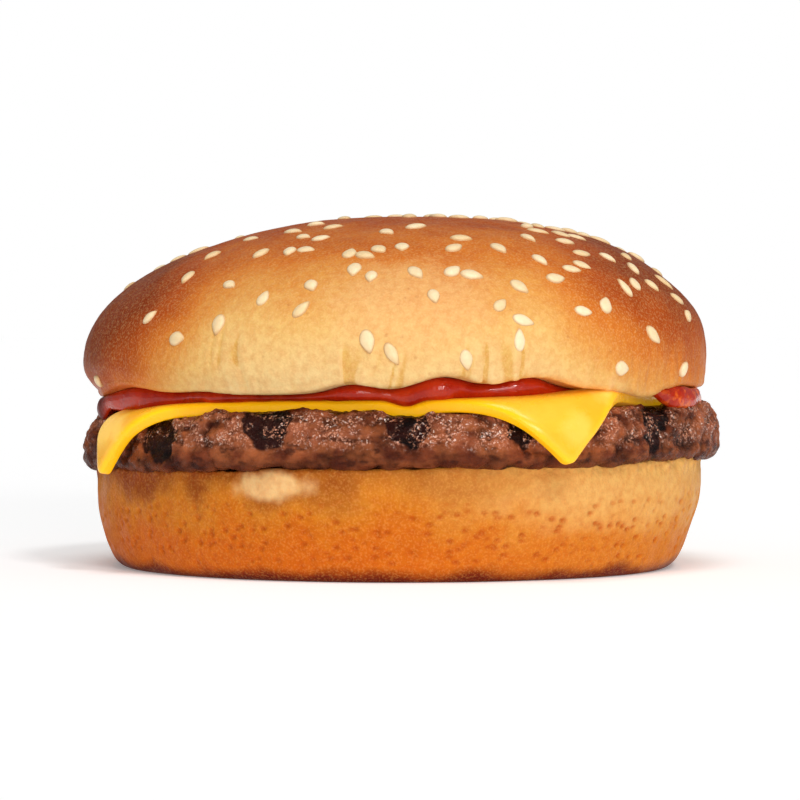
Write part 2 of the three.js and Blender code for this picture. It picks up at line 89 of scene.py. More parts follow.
PATTY_UNDER = HEEL_HEIGHT + CLEARANCE
PATTY_TOP = PATTY_UNDER + PATTY_THICKNESS
SLICE_UNDER = PATTY_TOP + CLEARANCE
SLICE_TOP = SLICE_UNDER + SLICE_THICKNESS
SAUCE_UNDER = SLICE_TOP + CLEARANCE
SAUCE_TOP = SAUCE_UNDER + SAUCE_THICKNESS
CROWN_UNDER = SAUCE_TOP + CLEARANCE
LEVELS = {"patty": PATTY_UNDER, "slice": SLICE_UNDER, "ketchup": SAUCE_UNDER, "crown": CROWN_UNDER}
print("Undersides in mm:", {layer: round(level, 2) for layer, level in LEVELS.items()})

# %% [markdown]
# ## Curves that shapes are drawn with
#
# Food has no straight lines, so most sizes vary round the burger. A few small curves do all of it: an
# S-shaped step, a bell for a single bump, a ring of waves for an outline, and the lean of the stack. They
# take whole numpy arrays, so that a hundred thousand points cost no more code than one.


# %% Small curves
def ease(start, end, at):
    """0 before start, 1 after end, and an S-curve between them."""
    t = np.clip((at - start) / (end - start), 0, 1)
    return t * t * (3 - 2 * t)


def bell(offset, width):
    """A bump of height 1 that has fallen to 0.37 one width from its middle."""
    return np.exp(-((offset / width) ** 2))


def lobe(bearing, degrees, width):
    """A bell on the ring, its middle and width in degrees."""
    start = math.radians(degrees)
    off = np.arctan2(np.sin(bearing - start), np.cos(bearing - start))
    return bell(off, math.radians(width))


def swells(bearing, bumps, pick=2):
    """Bumps on the ring. Each is its middle and width in degrees, then its size: the number picked."""
    return sum(bump[pick] * lobe(bearing, bump[0], bump[1]) for bump in bumps)


def swell(bearing, bump):
    """One named bump on the ring."""
    return bump["by"] * lobe(bearing, bump["bearing"], bump["width"])


def eased(span, at):
    """The S-curve between the two ends of a named span."""
    return ease(span["from"], span["to"], at)


def ripple(bearing, waves):
    """A wavy ring. Each wave is how many go round, its height, and the bearing of one crest in degrees."""
    return sum(height * np.cos(count * (bearing - math.radians(crest))) for count, height, crest in waves)


def lean(x, y):
    return RISE_TO_RIGHT * x - RISE_TO_FRONT * y


# %% [markdown]
# ## Repeatable roughness
#
# Crust, meat and crumb are rough in their shape, not only in their shading, so the meshes need noise that is
# the same on every run. A hash turns each corner of an invisible 3-D lattice into a fixed number. Blending
# the eight corners round a point gives soft lumps. Measuring the distance to the nearest of some scattered
# lattice points gives granules, which is what minced meat looks like.


# %% Noise in space
def lattice(corner, seed):
    """A repeatable number from 0 to 1 for every whole-numbered corner of space."""
    low = 0xFFFFFFFF
    mixed = (corner[..., 0] * 73856093) ^ (corner[..., 1] * 19349663) ^ (corner[..., 2] * 83492791)
    mixed = (mixed ^ (seed * 40503)) & low
    for shift, times in ((15, 0x2C1B3C6D), (12, 0x297A2D39)):
        mixed = ((mixed ^ (mixed >> shift)) * times) & low
    return ((mixed ^ (mixed >> 15)) & 0xFFFFFF) / 0xFFFFFF


def lumps(points, size, seed):
    """Soft noise from -1 to 1 whose lumps are about one size across."""
    cell = np.floor(points / size).astype(np.int64)
    part = points / size - cell
    part = part * part * (3 - 2 * part)
    total = 0
    for corner in np.ndindex(2, 2, 2):
        weight = np.prod(np.where(np.array(corner) == 1, part, 1 - part), axis=-1)
        total = total + weight * lattice(cell + np.array(corner), seed)
    return total * 2 - 1


def relief(points, layers):
    """Lumps laid over one another. Each layer is its height, the size of its lumps and its seed."""
    return sum(height * lumps(points, size, seed) for height, size, seed in layers)


def granules(points, size, seed):
    """Distance to the nearest scattered point, in sizes: 0 in a granule's middle, about 1 between them."""
    cell = np.floor(points / size).astype(np.int64)
    nearest = np.full(points.shape[:-1], np.inf)
    for corner in np.ndindex(3, 3, 3):
        home = cell + np.array(corner) - 1
        spot = np.stack([lattice(home, seed + axis) for axis in range(3)], axis=-1) + home
        nearest = np.minimum(nearest, np.linalg.norm(points / size - spot, axis=-1))
    return nearest


print("Noise check:", round(float(lumps(np.array([[1.5, 2.5, 3.5]]), 2, 7)[0]), 4))

# %% [markdown]
# ## One way to build every layer
#
# Each layer is a closed skin: start on the axis underneath, go out along the bottom, round the edge, and back
# over the top to the axis. Doing that at many bearings gives a grid of points, which is easy to shape with
# numpy, to roughen along its own normals, and to turn into one watertight mesh of four-sided faces.


# %% Grid to mesh
TINY = 1e-9


def bearings(count):
    return np.arange(count)[:, None] / count * 2 * math.pi


def profile(bearing, *stretches):
    """Grid points from a layer's outline. Each stretch of it is a pair: its radii and its heights."""
    pairs = [np.broadcast_arrays(radius, height, bearing)[:2] for radius, height in stretches]
    radius, height = (np.concatenate(part, axis=1) for part in zip(*pairs))
    return np.stack([radius * np.cos(bearing), radius * np.sin(bearing), height], axis=-1)


def push_out(points, amount):
    """Moves each point of a grid along the skin's outward normal, where it has one."""
    along = np.roll(points, -1, axis=0) - np.roll(points, 1, axis=0)
    normal = np.cross(along, np.gradient(points, axis=1))
    length = np.linalg.norm(normal, axis=-1, keepdims=True)
    return points + normal / np.maximum(length, TINY) * amount[..., None] * (length > TINY)


# %% Mesh to piece
def new_object(name, data):
    made = bpy.data.objects.new(name, data)
    bpy.context.scene.collection.objects.link(made)
    return made


def new_piece(name, corners, faces, marks):
    """A smooth mesh from corners in millimetres. Marks are named numbers on them for the materials."""
    mesh = bpy.data.meshes.new(name)
    mesh.from_pydata((corners * MM).tolist(), [], faces)
    mesh.shade_smooth()
    for mark, values in marks.items():
        kept = mesh.attributes.new(mark, "FLOAT", "POINT").data
        kept.foreach_set("value", values.astype(np.float32))
    print(f"{name}: {len(mesh.polygons)} faces, {len(mesh.vertices)} vertices")
    return new_object(name, mesh)


def closed(grid):
    """A grid's points or marks in a row, with only one kept for each end of the axis."""
    return np.concatenate([grid[0, [0, -1]], grid[:, 1:-1].reshape(-1, *grid.shape[2:])])


def skin_piece(name, points, **marks):
    """One closed piece from a grid of points."""
    ring = points.shape[1] - 2
    first = 2 + np.arange(len(points)) * ring
    second = np.roll(first, -1)
    step = np.arange(ring - 1)
    low, high = first[:, None] + step, second[:, None] + step
    quads = np.stack([low, high, high + 1, low + 1], axis=-1).reshape(-1, 4).tolist()
    sides = list(zip(first.tolist(), second.tolist()))
    caps = [(0, b, a) for a, b in sides] + [(1, a + ring - 1, b + ring - 1) for a, b in sides]
    marks = {mark: closed(values) for mark, values in marks.items()}
    return new_piece(name, closed(points), quads + caps, marks)


# %% [markdown]
# ## The heel
#
# The bottom bun sat on a baking tray, so it is flat underneath, tight at its foot and nearly upright above.
# It was pushed in a little at the right of its foot. Its crust has low swellings and small open pores where
# steam broke through, and its upper edge is cut bread, so it frays a little, most at the right. All of that
# is real relief here, because it also has to show in the outline.

# %% Heel shape
HEEL_FLARE_TOP = 13
HEEL_FLARE = {"straight": 1, "curved": 2.6, "power": 2.5}
HEEL_DRAWN_IN = {"by": 0.9, "bearing": 0, "width": 45, "from": 11, "to": 4}
FOOT_ROUND = {"across": 1.4, "up": 2.1}
HEEL_RIM_ROUND = 0.6
HEEL_RIPPLES = [(2, 0.25, 100), (3, 0.25, 200), (5, 0.15, 40)]
HEEL_SECTORS = 1100


def heel_radius(bearing, height):
    narrow = np.maximum(0, 1 - height / HEEL_FLARE_TOP)
    flare = HEEL_FLARE["straight"] * narrow + HEEL_FLARE["curved"] * narrow ** HEEL_FLARE["power"]
    low = np.maximum(0, 1 - height / FOOT_ROUND["up"])
    foot = FOOT_ROUND["across"] * (1 - np.sqrt(1 - low * low))
    drawn_in = swell(bearing, HEEL_DRAWN_IN) * eased(HEEL_DRAWN_IN, height)
    return HEEL_RADIUS + ripple(bearing, HEEL_RIPPLES) - flare - foot - drawn_in


def heel_grid():
    """The heel as it stands before the stack's lean."""
    bearing = bearings(HEEL_SECTORS)
    foot = FOOT_ROUND["up"] * (1 - np.cos(np.linspace(0, math.pi / 2, 8)))
    upright = np.linspace(FOOT_ROUND["up"], HEEL_HEIGHT - HEEL_RIM_ROUND, 58)
    side = np.concatenate([foot, upright[1:]])
    side_radius = heel_radius(bearing, side)
    turn = np.linspace(0, math.pi / 2, 6)[1:]
    rim_radius = side_radius[:, -1:] - HEEL_RIM_ROUND * (1 - np.cos(turn))
    return profile(
        bearing,
        (side_radius[:, :1] * [0, 0.4, 0.75, 0.93], 0),
        (side_radius, side),
        (rim_radius, HEEL_HEIGHT - HEEL_RIM_ROUND * (1 - np.sin(turn))),
        (rim_radius[:, -1:] * [0.985, 0.95, 0.85, 0.5, 0], HEEL_HEIGHT),
    )


# %% Heel relief
HEEL_SWELLINGS = [(0.24, 13, 11), (0.12, 4.5, 12)]
HEEL_FRAY = [(1, 2.4, 17), (0.7, 0.9, 18)]
FRAY_STARTS = 14.2
RIM_TORN = {"least": 0.22, "by": 0.28, "from": 5, "to": 30}
CRUST_STARTS = {"from": 0.3, "to": 3}
PORE_SPACING = 1.6
PORE_DEPTH = 0.38
PORES_START = {"from": 1.2, "to": 3}
PORES_END = {"from": 13.5, "to": 9.5}


def heel_relief(points, height):
    """How far the crust stands out, and where it has pores."""
    zone = ease(-1.1, -0.2, lumps(points, 17, 13)) * eased(PORES_START, height) * eased(PORES_END, height)
    pore = ease(0.44, 0.1, granules(points * [0.8, 0.8, 1.15], PORE_SPACING, 14)) * zone
    torn = RIM_TORN["least"] + RIM_TORN["by"] * eased(RIM_TORN, points[..., 0])
    fray = ease(FRAY_STARTS, HEEL_HEIGHT, height) * torn * relief(points, HEEL_FRAY)
    return eased(CRUST_STARTS, height) * (relief(points, HEEL_SWELLINGS) - PORE_DEPTH * pore + fray), pore


heel_points = heel_grid()
heel_height = heel_points[..., 2].copy()
heel_points[..., 2] += lean(heel_points[..., 0], heel_points[..., 1]) * heel_height / HEEL_HEIGHT
heel_amount, heel_pores = heel_relief(heel_points, heel_height)
heel = skin_piece("heel_crust", push_out(heel_points, heel_amount), pore=heel_pores)

# %% [markdown]
# ## The patty
#
# Minced beef sets into granules and short strands when it is fried. The side of the patty is therefore two
# sizes of granules on top of soft lumps. The bars of the grill charred five bands across the top and pressed
# most of them in, and each band runs on over the shoulder and its own part of the way down the side. The
# same bands are kept as a mark on the vertices, so that the material can blacken exactly where the bars lay.
# Beside the slice the rim swelled up, because nothing lay on it.

# %% Patty shape
PATTY_UPPER_ROUND = 4.85
PATTY_SQUARER = {"by": 0.9, "bearing": -6, "width": 20}
PATTY_LOWER_ROUND = 2.3
PATTY_SETTLES = 0.5
PATTY_SWELLS = [(-157, 18, -1), (178, 12, 0.4)]
PATTY_RIPPLES = [(1, 0.15, 0), (2, 0.2, 20), (3, 0.25, 75), (5, 0.25, 12)]
PATTY_SECTORS = 1240


def patty_radius(bearing):
    return PATTY_RADIUS + ripple(bearing, PATTY_RIPPLES) + swells(bearing, PATTY_SWELLS)


def patty_upper_round(bearing):
    return PATTY_UPPER_ROUND - swell(bearing, PATTY_SQUARER)


def patty_grid():
    bearing = bearings(PATTY_SECTORS)
    rim = patty_radius(bearing)
    low_turn = np.linspace(-math.pi / 2, 0, 16)
    high_turn = np.linspace(0, math.pi / 2, 34)
    high_round = patty_upper_round(bearing)
    lower = rim + PATTY_LOWER_ROUND * (np.cos(low_turn) - 1)
    upper = rim + high_round * (np.cos(high_turn) - 1)
    foot = PATTY_UNDER - PATTY_SETTLES
    lower_height = foot + PATTY_LOWER_ROUND * (1 + np.sin(low_turn))
    upper_height = PATTY_TOP - high_round * (1 - np.sin(high_turn))
    share = np.linspace(0, 1, 6)[1:-1]
    return profile(
        bearing,
        (lower[:, :1] * [0, 0.6, 0.9], foot),
        (lower, lower_height),
        (rim, lower_height[-1] * (1 - share) + upper_height[:, :1] * share),
        (upper, upper_height),
        (upper[:, -1:] * [0.98, 0.96, 0.94, 0.92, 0.89, 0.86, 0.7, 0.4, 0], PATTY_TOP),
    )


# %% Where the slice lies
SLICE_LIFTS = [(-46, 16, 0.95), (-155, 15, -1.2)]
SLICE_LIFT_STARTS = {"from": 33, "to": 42}


def slice_lift(x, y):
    """How far the slice stands above its level: up to the crown at the right, pressed down at the left."""
    return swells(np.arctan2(y, x), SLICE_LIFTS) * eased(SLICE_LIFT_STARTS, np.hypot(x, y))


def along_slice(x, y):
    """Where a point of the burger lies along the two sides of the turned slice."""
    cos, sin = math.cos(SLICE_TURN), math.sin(SLICE_TURN)
    return x * cos + y * sin, y * cos - x * sin


# %% Grill marks
GRILL_MARKS = [
    {"x": -37.4, "width": 4.8, "depth": 0.5, "share": 0.8},
    {"x": -19.9, "width": 6.8, "depth": 0.0, "share": 0.56},
    {"x": 1, "width": 5.8, "depth": 0.5, "share": 0.66},
    {"x": 19.5, "width": 5.6, "depth": 0.4, "share": 0.62},
    {"x": 39.8, "width": 4, "depth": 0.5, "share": 0.85},
]
MARK_WANDERS = [(0.9, 3.4, 31), (0.4, 1.2, 32)]
MARK_END_RAGGED = [(0.15, 2.6, 33), (0.08, 0.9, 34)]


def grill_char(points, share):
    """How charred each point is, 0 to 1, and how far the bars pressed it in: five bands with round ends."""
    wander = relief(points, MARK_WANDERS)
    ragged = relief(points, MARK_END_RAGGED)
    char, dent = 0 * share, 0 * share
    for bar in GRILL_MARKS:
        off = np.abs(points[..., 0] - bar["x"] + wander) / (bar["width"] / 2)
        end = 1 - bar["share"] + 0.3 * off**2 + ragged
        band = ease(1.3, 0.7, off) * ease(end - 0.2, end + 0.08, share)
        char = np.maximum(char, band)
        dent = np.maximum(dent, band * bar["depth"])
    return char, dent


# %% Patty relief
CLUMP_SIZE = 3.4
GRAIN_SIZE = 1.35
PATTY_RIM_LIFT = 0.6
PATTY_RELIEF_STARTS = {"from": 38, "to": 45}


def minced(points, share):
    """How far the granules stand out, and how deep each point lies in a crevice between them."""
    hump = lumps(points * [1, 1, 0.7], 7.5, 27)
    wavy = points + 0.5 * np.stack([lumps(points, 1.6, seed) for seed in (35, 36, 37)], axis=-1)
    clump = 1 - np.clip(granules(wavy * [1, 1, 1.3], CLUMP_SIZE, 21), 0, 1) ** 2
    grain = 1 - np.clip(granules(wavy, GRAIN_SIZE, 24), 0, 1) ** 2
    crevice = np.clip(1.15 - 0.95 * clump - 0.45 * grain + 0.35 * ease(-0.1, -0.7, hump), 0, 1)
    fine = 0.5 * (grain - 0.7) + 0.22 * lumps(points, 0.55, 29)
    return 0.7 * hump + clump - 0.75 + (0.35 + 0.65 * ease(0.2, 0.55, share)) * fine, crevice


def rim_lift(points, share, dent):
    """How far the rim swelled up, where neither the slice nor a bar held it down."""
    a, b = along_slice(points[..., 0], points[..., 1])
    bare = ease(0.2, 1.4, np.maximum(np.abs(a), np.abs(b)) - SLICE_SIDE / 2) * ease(0.75, 1, share)
    bare = bare * (1 - np.minimum(1, 2 * dent))
    return PATTY_RIM_LIFT * bare * (0.8 + 0.5 * lumps(points, 2.8, 38))


def patty_relief(points):
    """How far the meat stands out, how charred it is, and how deep in a crevice."""
    share = (points[..., 2] - PATTY_UNDER) / PATTY_THICKNESS
    char, dent = grill_char(points, share)
    out, crevice = minced(points, share)
    settled = 0.5 * ease(0.3, 0, share) + 0.4 * ease(0.7, 0.95, share) - 0.4
    pressed = np.minimum(0, slice_lift(points[..., 0], points[..., 1])) * ease(0.5, 0.9, share)
    amount = out * (1 - 0.5 * char) + settled + rim_lift(points, share, dent) + pressed - dent
    amount = eased(PATTY_RELIEF_STARTS, np.hypot(points[..., 0], points[..., 1])) * amount
    return amount, char, crevice


patty_points = patty_grid()
patty_amount, patty_char, patty_crevice = patty_relief(patty_points)
patty_points = push_out(patty_points, patty_amount)
patty_points[..., 2] += lean(patty_points[..., 0], patty_points[..., 1])
patty = skin_piece("patty_meat", patty_points, char=patty_char, crevice=patty_crevice)

# %% [markdown]
# ## The cheese
#
# The slice starts as a flat square with rounded corners. Each point is then carried along a line from the
# burger's axis: flat over the patty, round a bend at the patty's edge, and almost straight down. The
# distance along the slice never changes, so the cheese bends but doesn't stretch, which is what gives the
# hanging corners their true curved edges. Warm cheese also gives way a little: it settles on the meat, sinks
# into the middle grill mark, rises to the crown at the right and is pinched beside the front corner.

# %% Cheese outline
SLICE_CORNER_ROUND = 1.7
SLICE_SIDE_STEPS = 200
SLICE_CORNER_STEPS = 20


def slice_outline():
    """Points round the rounded square, and the direction in which each faces."""
    half = SLICE_SIDE / 2
    inner = half - SLICE_CORNER_ROUND
    out = []
    for quarter in range(4):
        turn = quarter * math.pi / 2
        for i in range(SLICE_SIDE_STEPS):
            out.append((half, -inner + 2 * inner * i / SLICE_SIDE_STEPS, 0, turn))
        for i in range(SLICE_CORNER_STEPS):
            angle = math.pi / 2 * i / SLICE_CORNER_STEPS
            reach = SLICE_CORNER_ROUND
            out.append((inner + reach * math.cos(angle), inner + reach * math.sin(angle), angle, turn))
    a, b, facing, turn = np.array(out).T
    cos, sin = np.cos(turn), np.sin(turn)
    return np.stack([a * cos - b * sin, a * sin + b * cos], -1), facing + turn


# %% Cheese drape
SLICE_DRAWN_IN = {"by": 4.6, "from": 0, "to": 13}
SLICE_PINCH = {"by": 1.3, "bearing": -46, "width": 9, "from": 2, "to": 7}
SLICE_DIP = {"by": 0.95, "x": 1, "width": 2.6, "from": 30, "to": 40}
BEND_RADIUS = 5
BEND_STARTS_BEFORE_RIM = 4.2
HANG_ANGLE = math.radians(80)
SLICE_LIFT_ENDS = {"from": 55, "to": 46}


def slice_left(b):
    """Half the slice's width towards its left edge, which is drawn in behind the corner at the front."""
    return SLICE_SIDE / 2 - SLICE_DRAWN_IN["by"] * eased(SLICE_DRAWN_IN, b + SLICE_SIDE / 2)


def slice_dip(x, y):
    """The slice sinks into the middle grill mark where its front edge crosses it."""
    return SLICE_DIP["by"] * bell(x - SLICE_DIP["x"], SLICE_DIP["width"]) * eased(SLICE_DIP, -y)


def drape(a, b, up):
    """Carries a point of the flat slice, up through its thickness, over the patty's edge."""
    a = np.where(a < 0, a * slice_left(b) / (SLICE_SIDE / 2), a)
    cos, sin = math.cos(SLICE_TURN), math.sin(SLICE_TURN)
    flat_x, flat_y = a * cos - b * sin, a * sin + b * cos
    along, bearing = np.hypot(flat_x, flat_y), np.arctan2(flat_y, flat_x)
    bend_start = patty_radius(bearing) - BEND_STARTS_BEFORE_RIM
    past = np.maximum(0, along - bend_start)
    angle = np.minimum(HANG_ANGLE, past / BEND_RADIUS)
    straight = np.maximum(0, past - HANG_ANGLE * BEND_RADIUS)
    bent = BEND_RADIUS + up
    radius = np.minimum(along, bend_start) + bent * np.sin(angle) + straight * math.cos(HANG_ANGLE)
    drop = bent * (1 - np.cos(angle)) + straight * math.sin(HANG_ANGLE)
    bearing = bearing - swell(bearing, SLICE_PINCH) / PATTY_RADIUS * eased(SLICE_PINCH, drop)
    x, y = radius * np.cos(bearing), radius * np.sin(bearing)
    lift = slice_lift(x, y) * eased(SLICE_LIFT_ENDS, along)
    return np.stack([x, y, SLICE_UNDER + up - drop + lean(x, y) - slice_dip(x, y) + lift], axis=-1)


# %% Cheese grid
SLICE_LOWER_ROUND = 0.3
SLICE_UPPER_ROUND = {"across": 1.5, "down": 0.75}
SLICE_SETTLES = 0.35


def cheese_grid():
    """The slice's points, and how much each belongs to its cut edge."""
    outline, facing = slice_outline()
    spread = np.sin(np.linspace(0, math.pi / 2, 48))[:-1] ** 0.8
    low = np.linspace(0, math.pi / 2, 5)
    high = np.linspace(0, math.pi / 2, 12)
    across, down = SLICE_UPPER_ROUND["across"], SLICE_UPPER_ROUND["down"]
    scale = np.concatenate([spread, 1 + 0 * low, 1 + 0 * high, spread[::-1]])
    low_inset, high_inset = SLICE_LOWER_ROUND * (1 - np.sin(low)), across * (1 - np.cos(high))
    inset = np.concatenate([SLICE_LOWER_ROUND * spread, low_inset, high_inset, across * spread[::-1]])
    low_up = SLICE_LOWER_ROUND * (1 - np.cos(low)) - SLICE_SETTLES
    high_up = SLICE_THICKNESS - down * (1 - np.sin(high))
    up = np.concatenate([0 * spread - SLICE_SETTLES, low_up, high_up, SLICE_THICKNESS + 0 * spread])
    cut = np.concatenate([0 * spread, 1 + 0 * low, ease(1.4, 0.6, high), 0 * spread])
    a = outline[:, :1] * scale - np.cos(facing)[:, None] * inset
    b = outline[:, 1:] * scale - np.sin(facing)[:, None] * inset
    return drape(a, b, up + 0 * a), cut + 0 * a


cheese_points, cheese_cut = cheese_grid()
cheese_points = push_out(cheese_points, relief(cheese_points, [(0.05, 7, 41)]))
cheese = skin_piece("cheese_sheet", cheese_points, cut=cheese_cut)

# %% [markdown]
# ## The ketchup
#
# Ketchup is spread on the crown, then squeezed when the burger is closed. It runs out in lobes, and most
# lobes push the crown's edge up a little. One table of lobes therefore shapes both the ketchup's edge and the
# crown's underside. Each row is a lobe's bearing and width in degrees, how far it comes out, and how far it
# lifts the crown. Past the edge of the slice the ketchup sinks down on to the meat.

# %% Ketchup shape
SAUCE_LOBES = [
    (-170, 12, 5.6, -0.5),
    (-152, 12, 3.4, 1.4),
    (-130, 7, 2.2, 0.6),
    (-99, 6, 2.2, 1.4),
    (-82, 7, 3.2, 2.3),
    (-65, 8, 2.8, 2),
    (-26, 9, 0.8, 0.6),
    (-17, 20, 6.1, -0.6),
    (22, 10, 2, 0.8),
    (50, 9, 3, 1.8),
    (84, 12, 1.8, 0.9),
    (117, 8, 2.8, 2),
    (145, 10, 1.6, 1.1),
]
SAUCE_LIFT = {"from": 26, "to": 43}
SAUCE_OFF_SLICE = {"from": 2.3, "to": 5}
SAUCE_EDGE = 0.9
SAUCE_SOAKS = {"down": 0.4, "up": 0.3}
SAUCE_PULP = {"least": 0.1, "by": 0.1, "from": 36, "to": 44}
SAUCE_SECTORS = 720


def sauce_radius(bearing):
    return SAUCE_RADIUS + swells(bearing, SAUCE_LOBES)


def sauce_top(radius, bearing):
    return SAUCE_TOP + swells(bearing, SAUCE_LOBES, pick=3) * eased(SAUCE_LIFT, radius)


def rounded_off(past, curve):
    """How far a rounded edge has dropped, a way past where it starts to curve."""
    past = np.clip(past, 0, curve)
    return curve - np.sqrt(curve**2 - past**2)


def sauce_under(radius, bearing):
    """The ketchup lies on the slice, and past its edge on the patty's shoulder."""
    x, y = radius * np.cos(bearing), radius * np.sin(bearing)
    a, b = along_slice(x, y)
    half, rim, shoulder = SLICE_SIDE / 2, patty_radius(bearing), patty_upper_round(bearing)
    off_slice = np.maximum(np.maximum(a - half, -a - slice_left(b)), np.abs(b) - half)
    bend = rounded_off(radius - rim + BEND_STARTS_BEFORE_RIM, BEND_RADIUS + SLICE_THICKNESS)
    on_slice = SAUCE_UNDER - slice_dip(x, y) - bend + np.minimum(0, slice_lift(x, y))
    on_patty = PATTY_TOP + CLEARANCE - rounded_off(radius - rim + shoulder, shoulder)
    return on_slice - eased(SAUCE_OFF_SLICE, off_slice) * (on_slice - on_patty)


def ketchup_grid():
    bearing = bearings(SAUCE_SECTORS)
    last = sauce_radius(bearing) - SAUCE_EDGE
    radius = last * np.sin(np.linspace(0, math.pi / 2, 26)) ** 0.9
    low = sauce_under(radius, bearing) - SAUCE_SOAKS["down"]
    high = sauce_top(radius, bearing) + SAUCE_SOAKS["up"]
    turn = np.linspace(-math.pi / 2, math.pi / 2, 15)[1:-1]
    middle, half = (low[:, -1:] + high[:, -1:]) / 2, (high[:, -1:] - low[:, -1:]) / 2
    edge = (last + SAUCE_EDGE * np.cos(turn), middle + half * np.sin(turn))
    points = profile(bearing, (radius, low), edge, (radius[:, ::-1], high[:, ::-1]))
    points[..., 2] += lean(points[..., 0], points[..., 1])
    return points


ketchup_points = ketchup_grid()
pulpy = SAUCE_PULP["least"] + SAUCE_PULP["by"] * eased(SAUCE_PULP, ketchup_points[..., 0])
ketchup_relief = relief(ketchup_points, [(0.12, 3.2, 51), (pulpy, 1.9, 52)])
ketchup = skin_piece("ketchup_spread", push_out(ketchup_points, ketchup_relief))

# %% [markdown]
# ## The crown
#
# The top bun rose freely in the oven, so its outline is close to a superellipse: flatter than a circle on top
# and fuller at the shoulder. It slumped a little to the left, has one shallow hollow in its right shoulder,
# and tucks in under its widest part. Near the lower edge the crust shrank as it cooled and drew itself into
# fine upright wrinkles, with a few cracks between them.

# %% Crown shape
CROWN_SIDEWAYS = -0.5
WIDEST_HEIGHT = {"middle": 33.2, "right": 0.8}
DOME_FULLNESS = {"middle": 2.2, "right": 0.2}
TUCK = {"middle": 1.4, "left": 0.9}
HOLLOW = {"by": 1.3, "bearing": -4, "width": 26, "height": 47, "rise": 4.5}
CROWN_RIPPLES = [(3, 0.2, 60), (4, 0.2, 10), (7, 0.12, 33)]


def widest_height(bearing):
    return WIDEST_HEIGHT["middle"] + WIDEST_HEIGHT["right"] * np.cos(bearing)


def dome_fullness(bearing):
    return DOME_FULLNESS["middle"] + DOME_FULLNESS["right"] * np.cos(bearing)


def dome_height(bearing, share):
    """Height of the dome at a share of the way from its top, 0, to its widest part, 1."""
    widest = widest_height(bearing)
    return widest + (BURGER_HEIGHT - widest) * np.cos(share * math.pi / 2) ** (2 / dome_fullness(bearing))


def crown_radius(bearing, height):
    """Radius of the crust at a height, on the dome or below its widest part."""
    widest, fullness = widest_height(bearing), dome_fullness(bearing)
    most = CROWN_RADIUS + CROWN_SIDEWAYS * np.cos(bearing) + ripple(bearing, CROWN_RIPPLES)
    below = np.maximum(0, widest - height) / (widest - CROWN_UNDER)
    up = np.clip((height - widest) / (BURGER_HEIGHT - widest), 0, 1)
    hollow = swell(bearing, HOLLOW) * bell(height - HOLLOW["height"], HOLLOW["rise"]) * (height > widest)
    dome = most * (1 - up**fullness) ** (1 / fullness) - hollow
    return dome - (TUCK["middle"] - TUCK["left"] * np.cos(bearing)) * below**2


# %% Crown grid
CROWN_LIP_ROUND = 1.1
CROWN_SAG = {"by": 1.35, "bearing": -38, "width": 6.5, "from": 45.5, "to": 47.8}
CROWN_SECTORS = 880
UNDER_STEPS = np.array([0, 0.3, 0.55, 0.7, 0.8, 0.88, 0.94, 0.98])
AXIS_HOLE = 0.05


def crown_underside(radius, bearing):
    sag = swell(bearing, CROWN_SAG) * eased(CROWN_SAG, radius)
    leaning = lean(radius * np.cos(bearing), radius * np.sin(bearing))
    return sauce_top(radius, bearing) + CLEARANCE + leaning - sag


def crown_grid():
    bearing = bearings(CROWN_SECTORS)
    lip_under = crown_underside(crown_radius(bearing, CROWN_UNDER) - CROWN_LIP_ROUND, bearing)
    wall_from = lip_under + CROWN_LIP_ROUND
    lip = crown_radius(bearing, wall_from) - CROWN_LIP_ROUND
    turn = np.linspace(-math.pi / 2, 0, 10)
    wall = wall_from + np.linspace(0, 1, 22)[1:] * (widest_height(bearing) - wall_from)
    dome = dome_height(bearing, np.linspace(1, 0, 84)[1:-1])
    crust = np.concatenate([wall, dome], axis=1)
    return profile(
        bearing,
        (lip * UNDER_STEPS, crown_underside(lip * UNDER_STEPS, bearing)),
        (lip + CROWN_LIP_ROUND * np.cos(turn), lip_under + CROWN_LIP_ROUND * (1 + np.sin(turn))),
        (np.maximum(crown_radius(bearing, crust), AXIS_HOLE), crust),
        (0, BURGER_HEIGHT),
    )


# %% Crown relief
WRINKLES = [(0.45, 0.8, 63), (0.4, 2, 64)]
WRINKLE_TOP = 35.5
WRINKLE_STRETCH = 0.16
WRINKLES_FROM_LEFT = {"from": -34, "to": -22}
WRINKLES_FROM_BELOW = {"from": 27.3, "to": 29.5}
CRUST_LUMPS = [(0.32, 15, 61), (0.12, 6, 62), (0.04, 0.8, 66)]


def wrinkles(points):
    """Upright creases near the crown's lower edge: below 0 in a crease or a crack, above 0 on a fold."""
    bearing = np.arctan2(points[..., 1], points[..., 0])
    height = points[..., 2]
    slack = 1.2 * lumps(points, 5, 67)
    upright = np.stack([bearing * CROWN_RADIUS + slack, height * WRINKLE_STRETCH, 0 * height], axis=-1)
    crack = ease(0.24, 0.02, np.abs(lumps(upright, 2.8, 68))) * ease(-0.35, 0.15, lumps(points, 6, 69))
    fold = relief(upright, WRINKLES) - 1.2 * crack
    patch = lumps(np.stack([bearing * CROWN_RADIUS, 0 * height, 0 * height], axis=-1), 9, 65)
    top = WRINKLE_TOP + 3 * patch
    zone = eased(WRINKLES_FROM_LEFT, points[..., 0]) * ease(top + 4, top - 4, height)
    return fold * (zone * eased(WRINKLES_FROM_BELOW, height)) * (0.75 + 0.25 * patch)


def crust_relief(points):
    """How far the crown's crust stands out from its smooth form."""
    return relief(points, CRUST_LUMPS) + 0.3 * wrinkles(points)


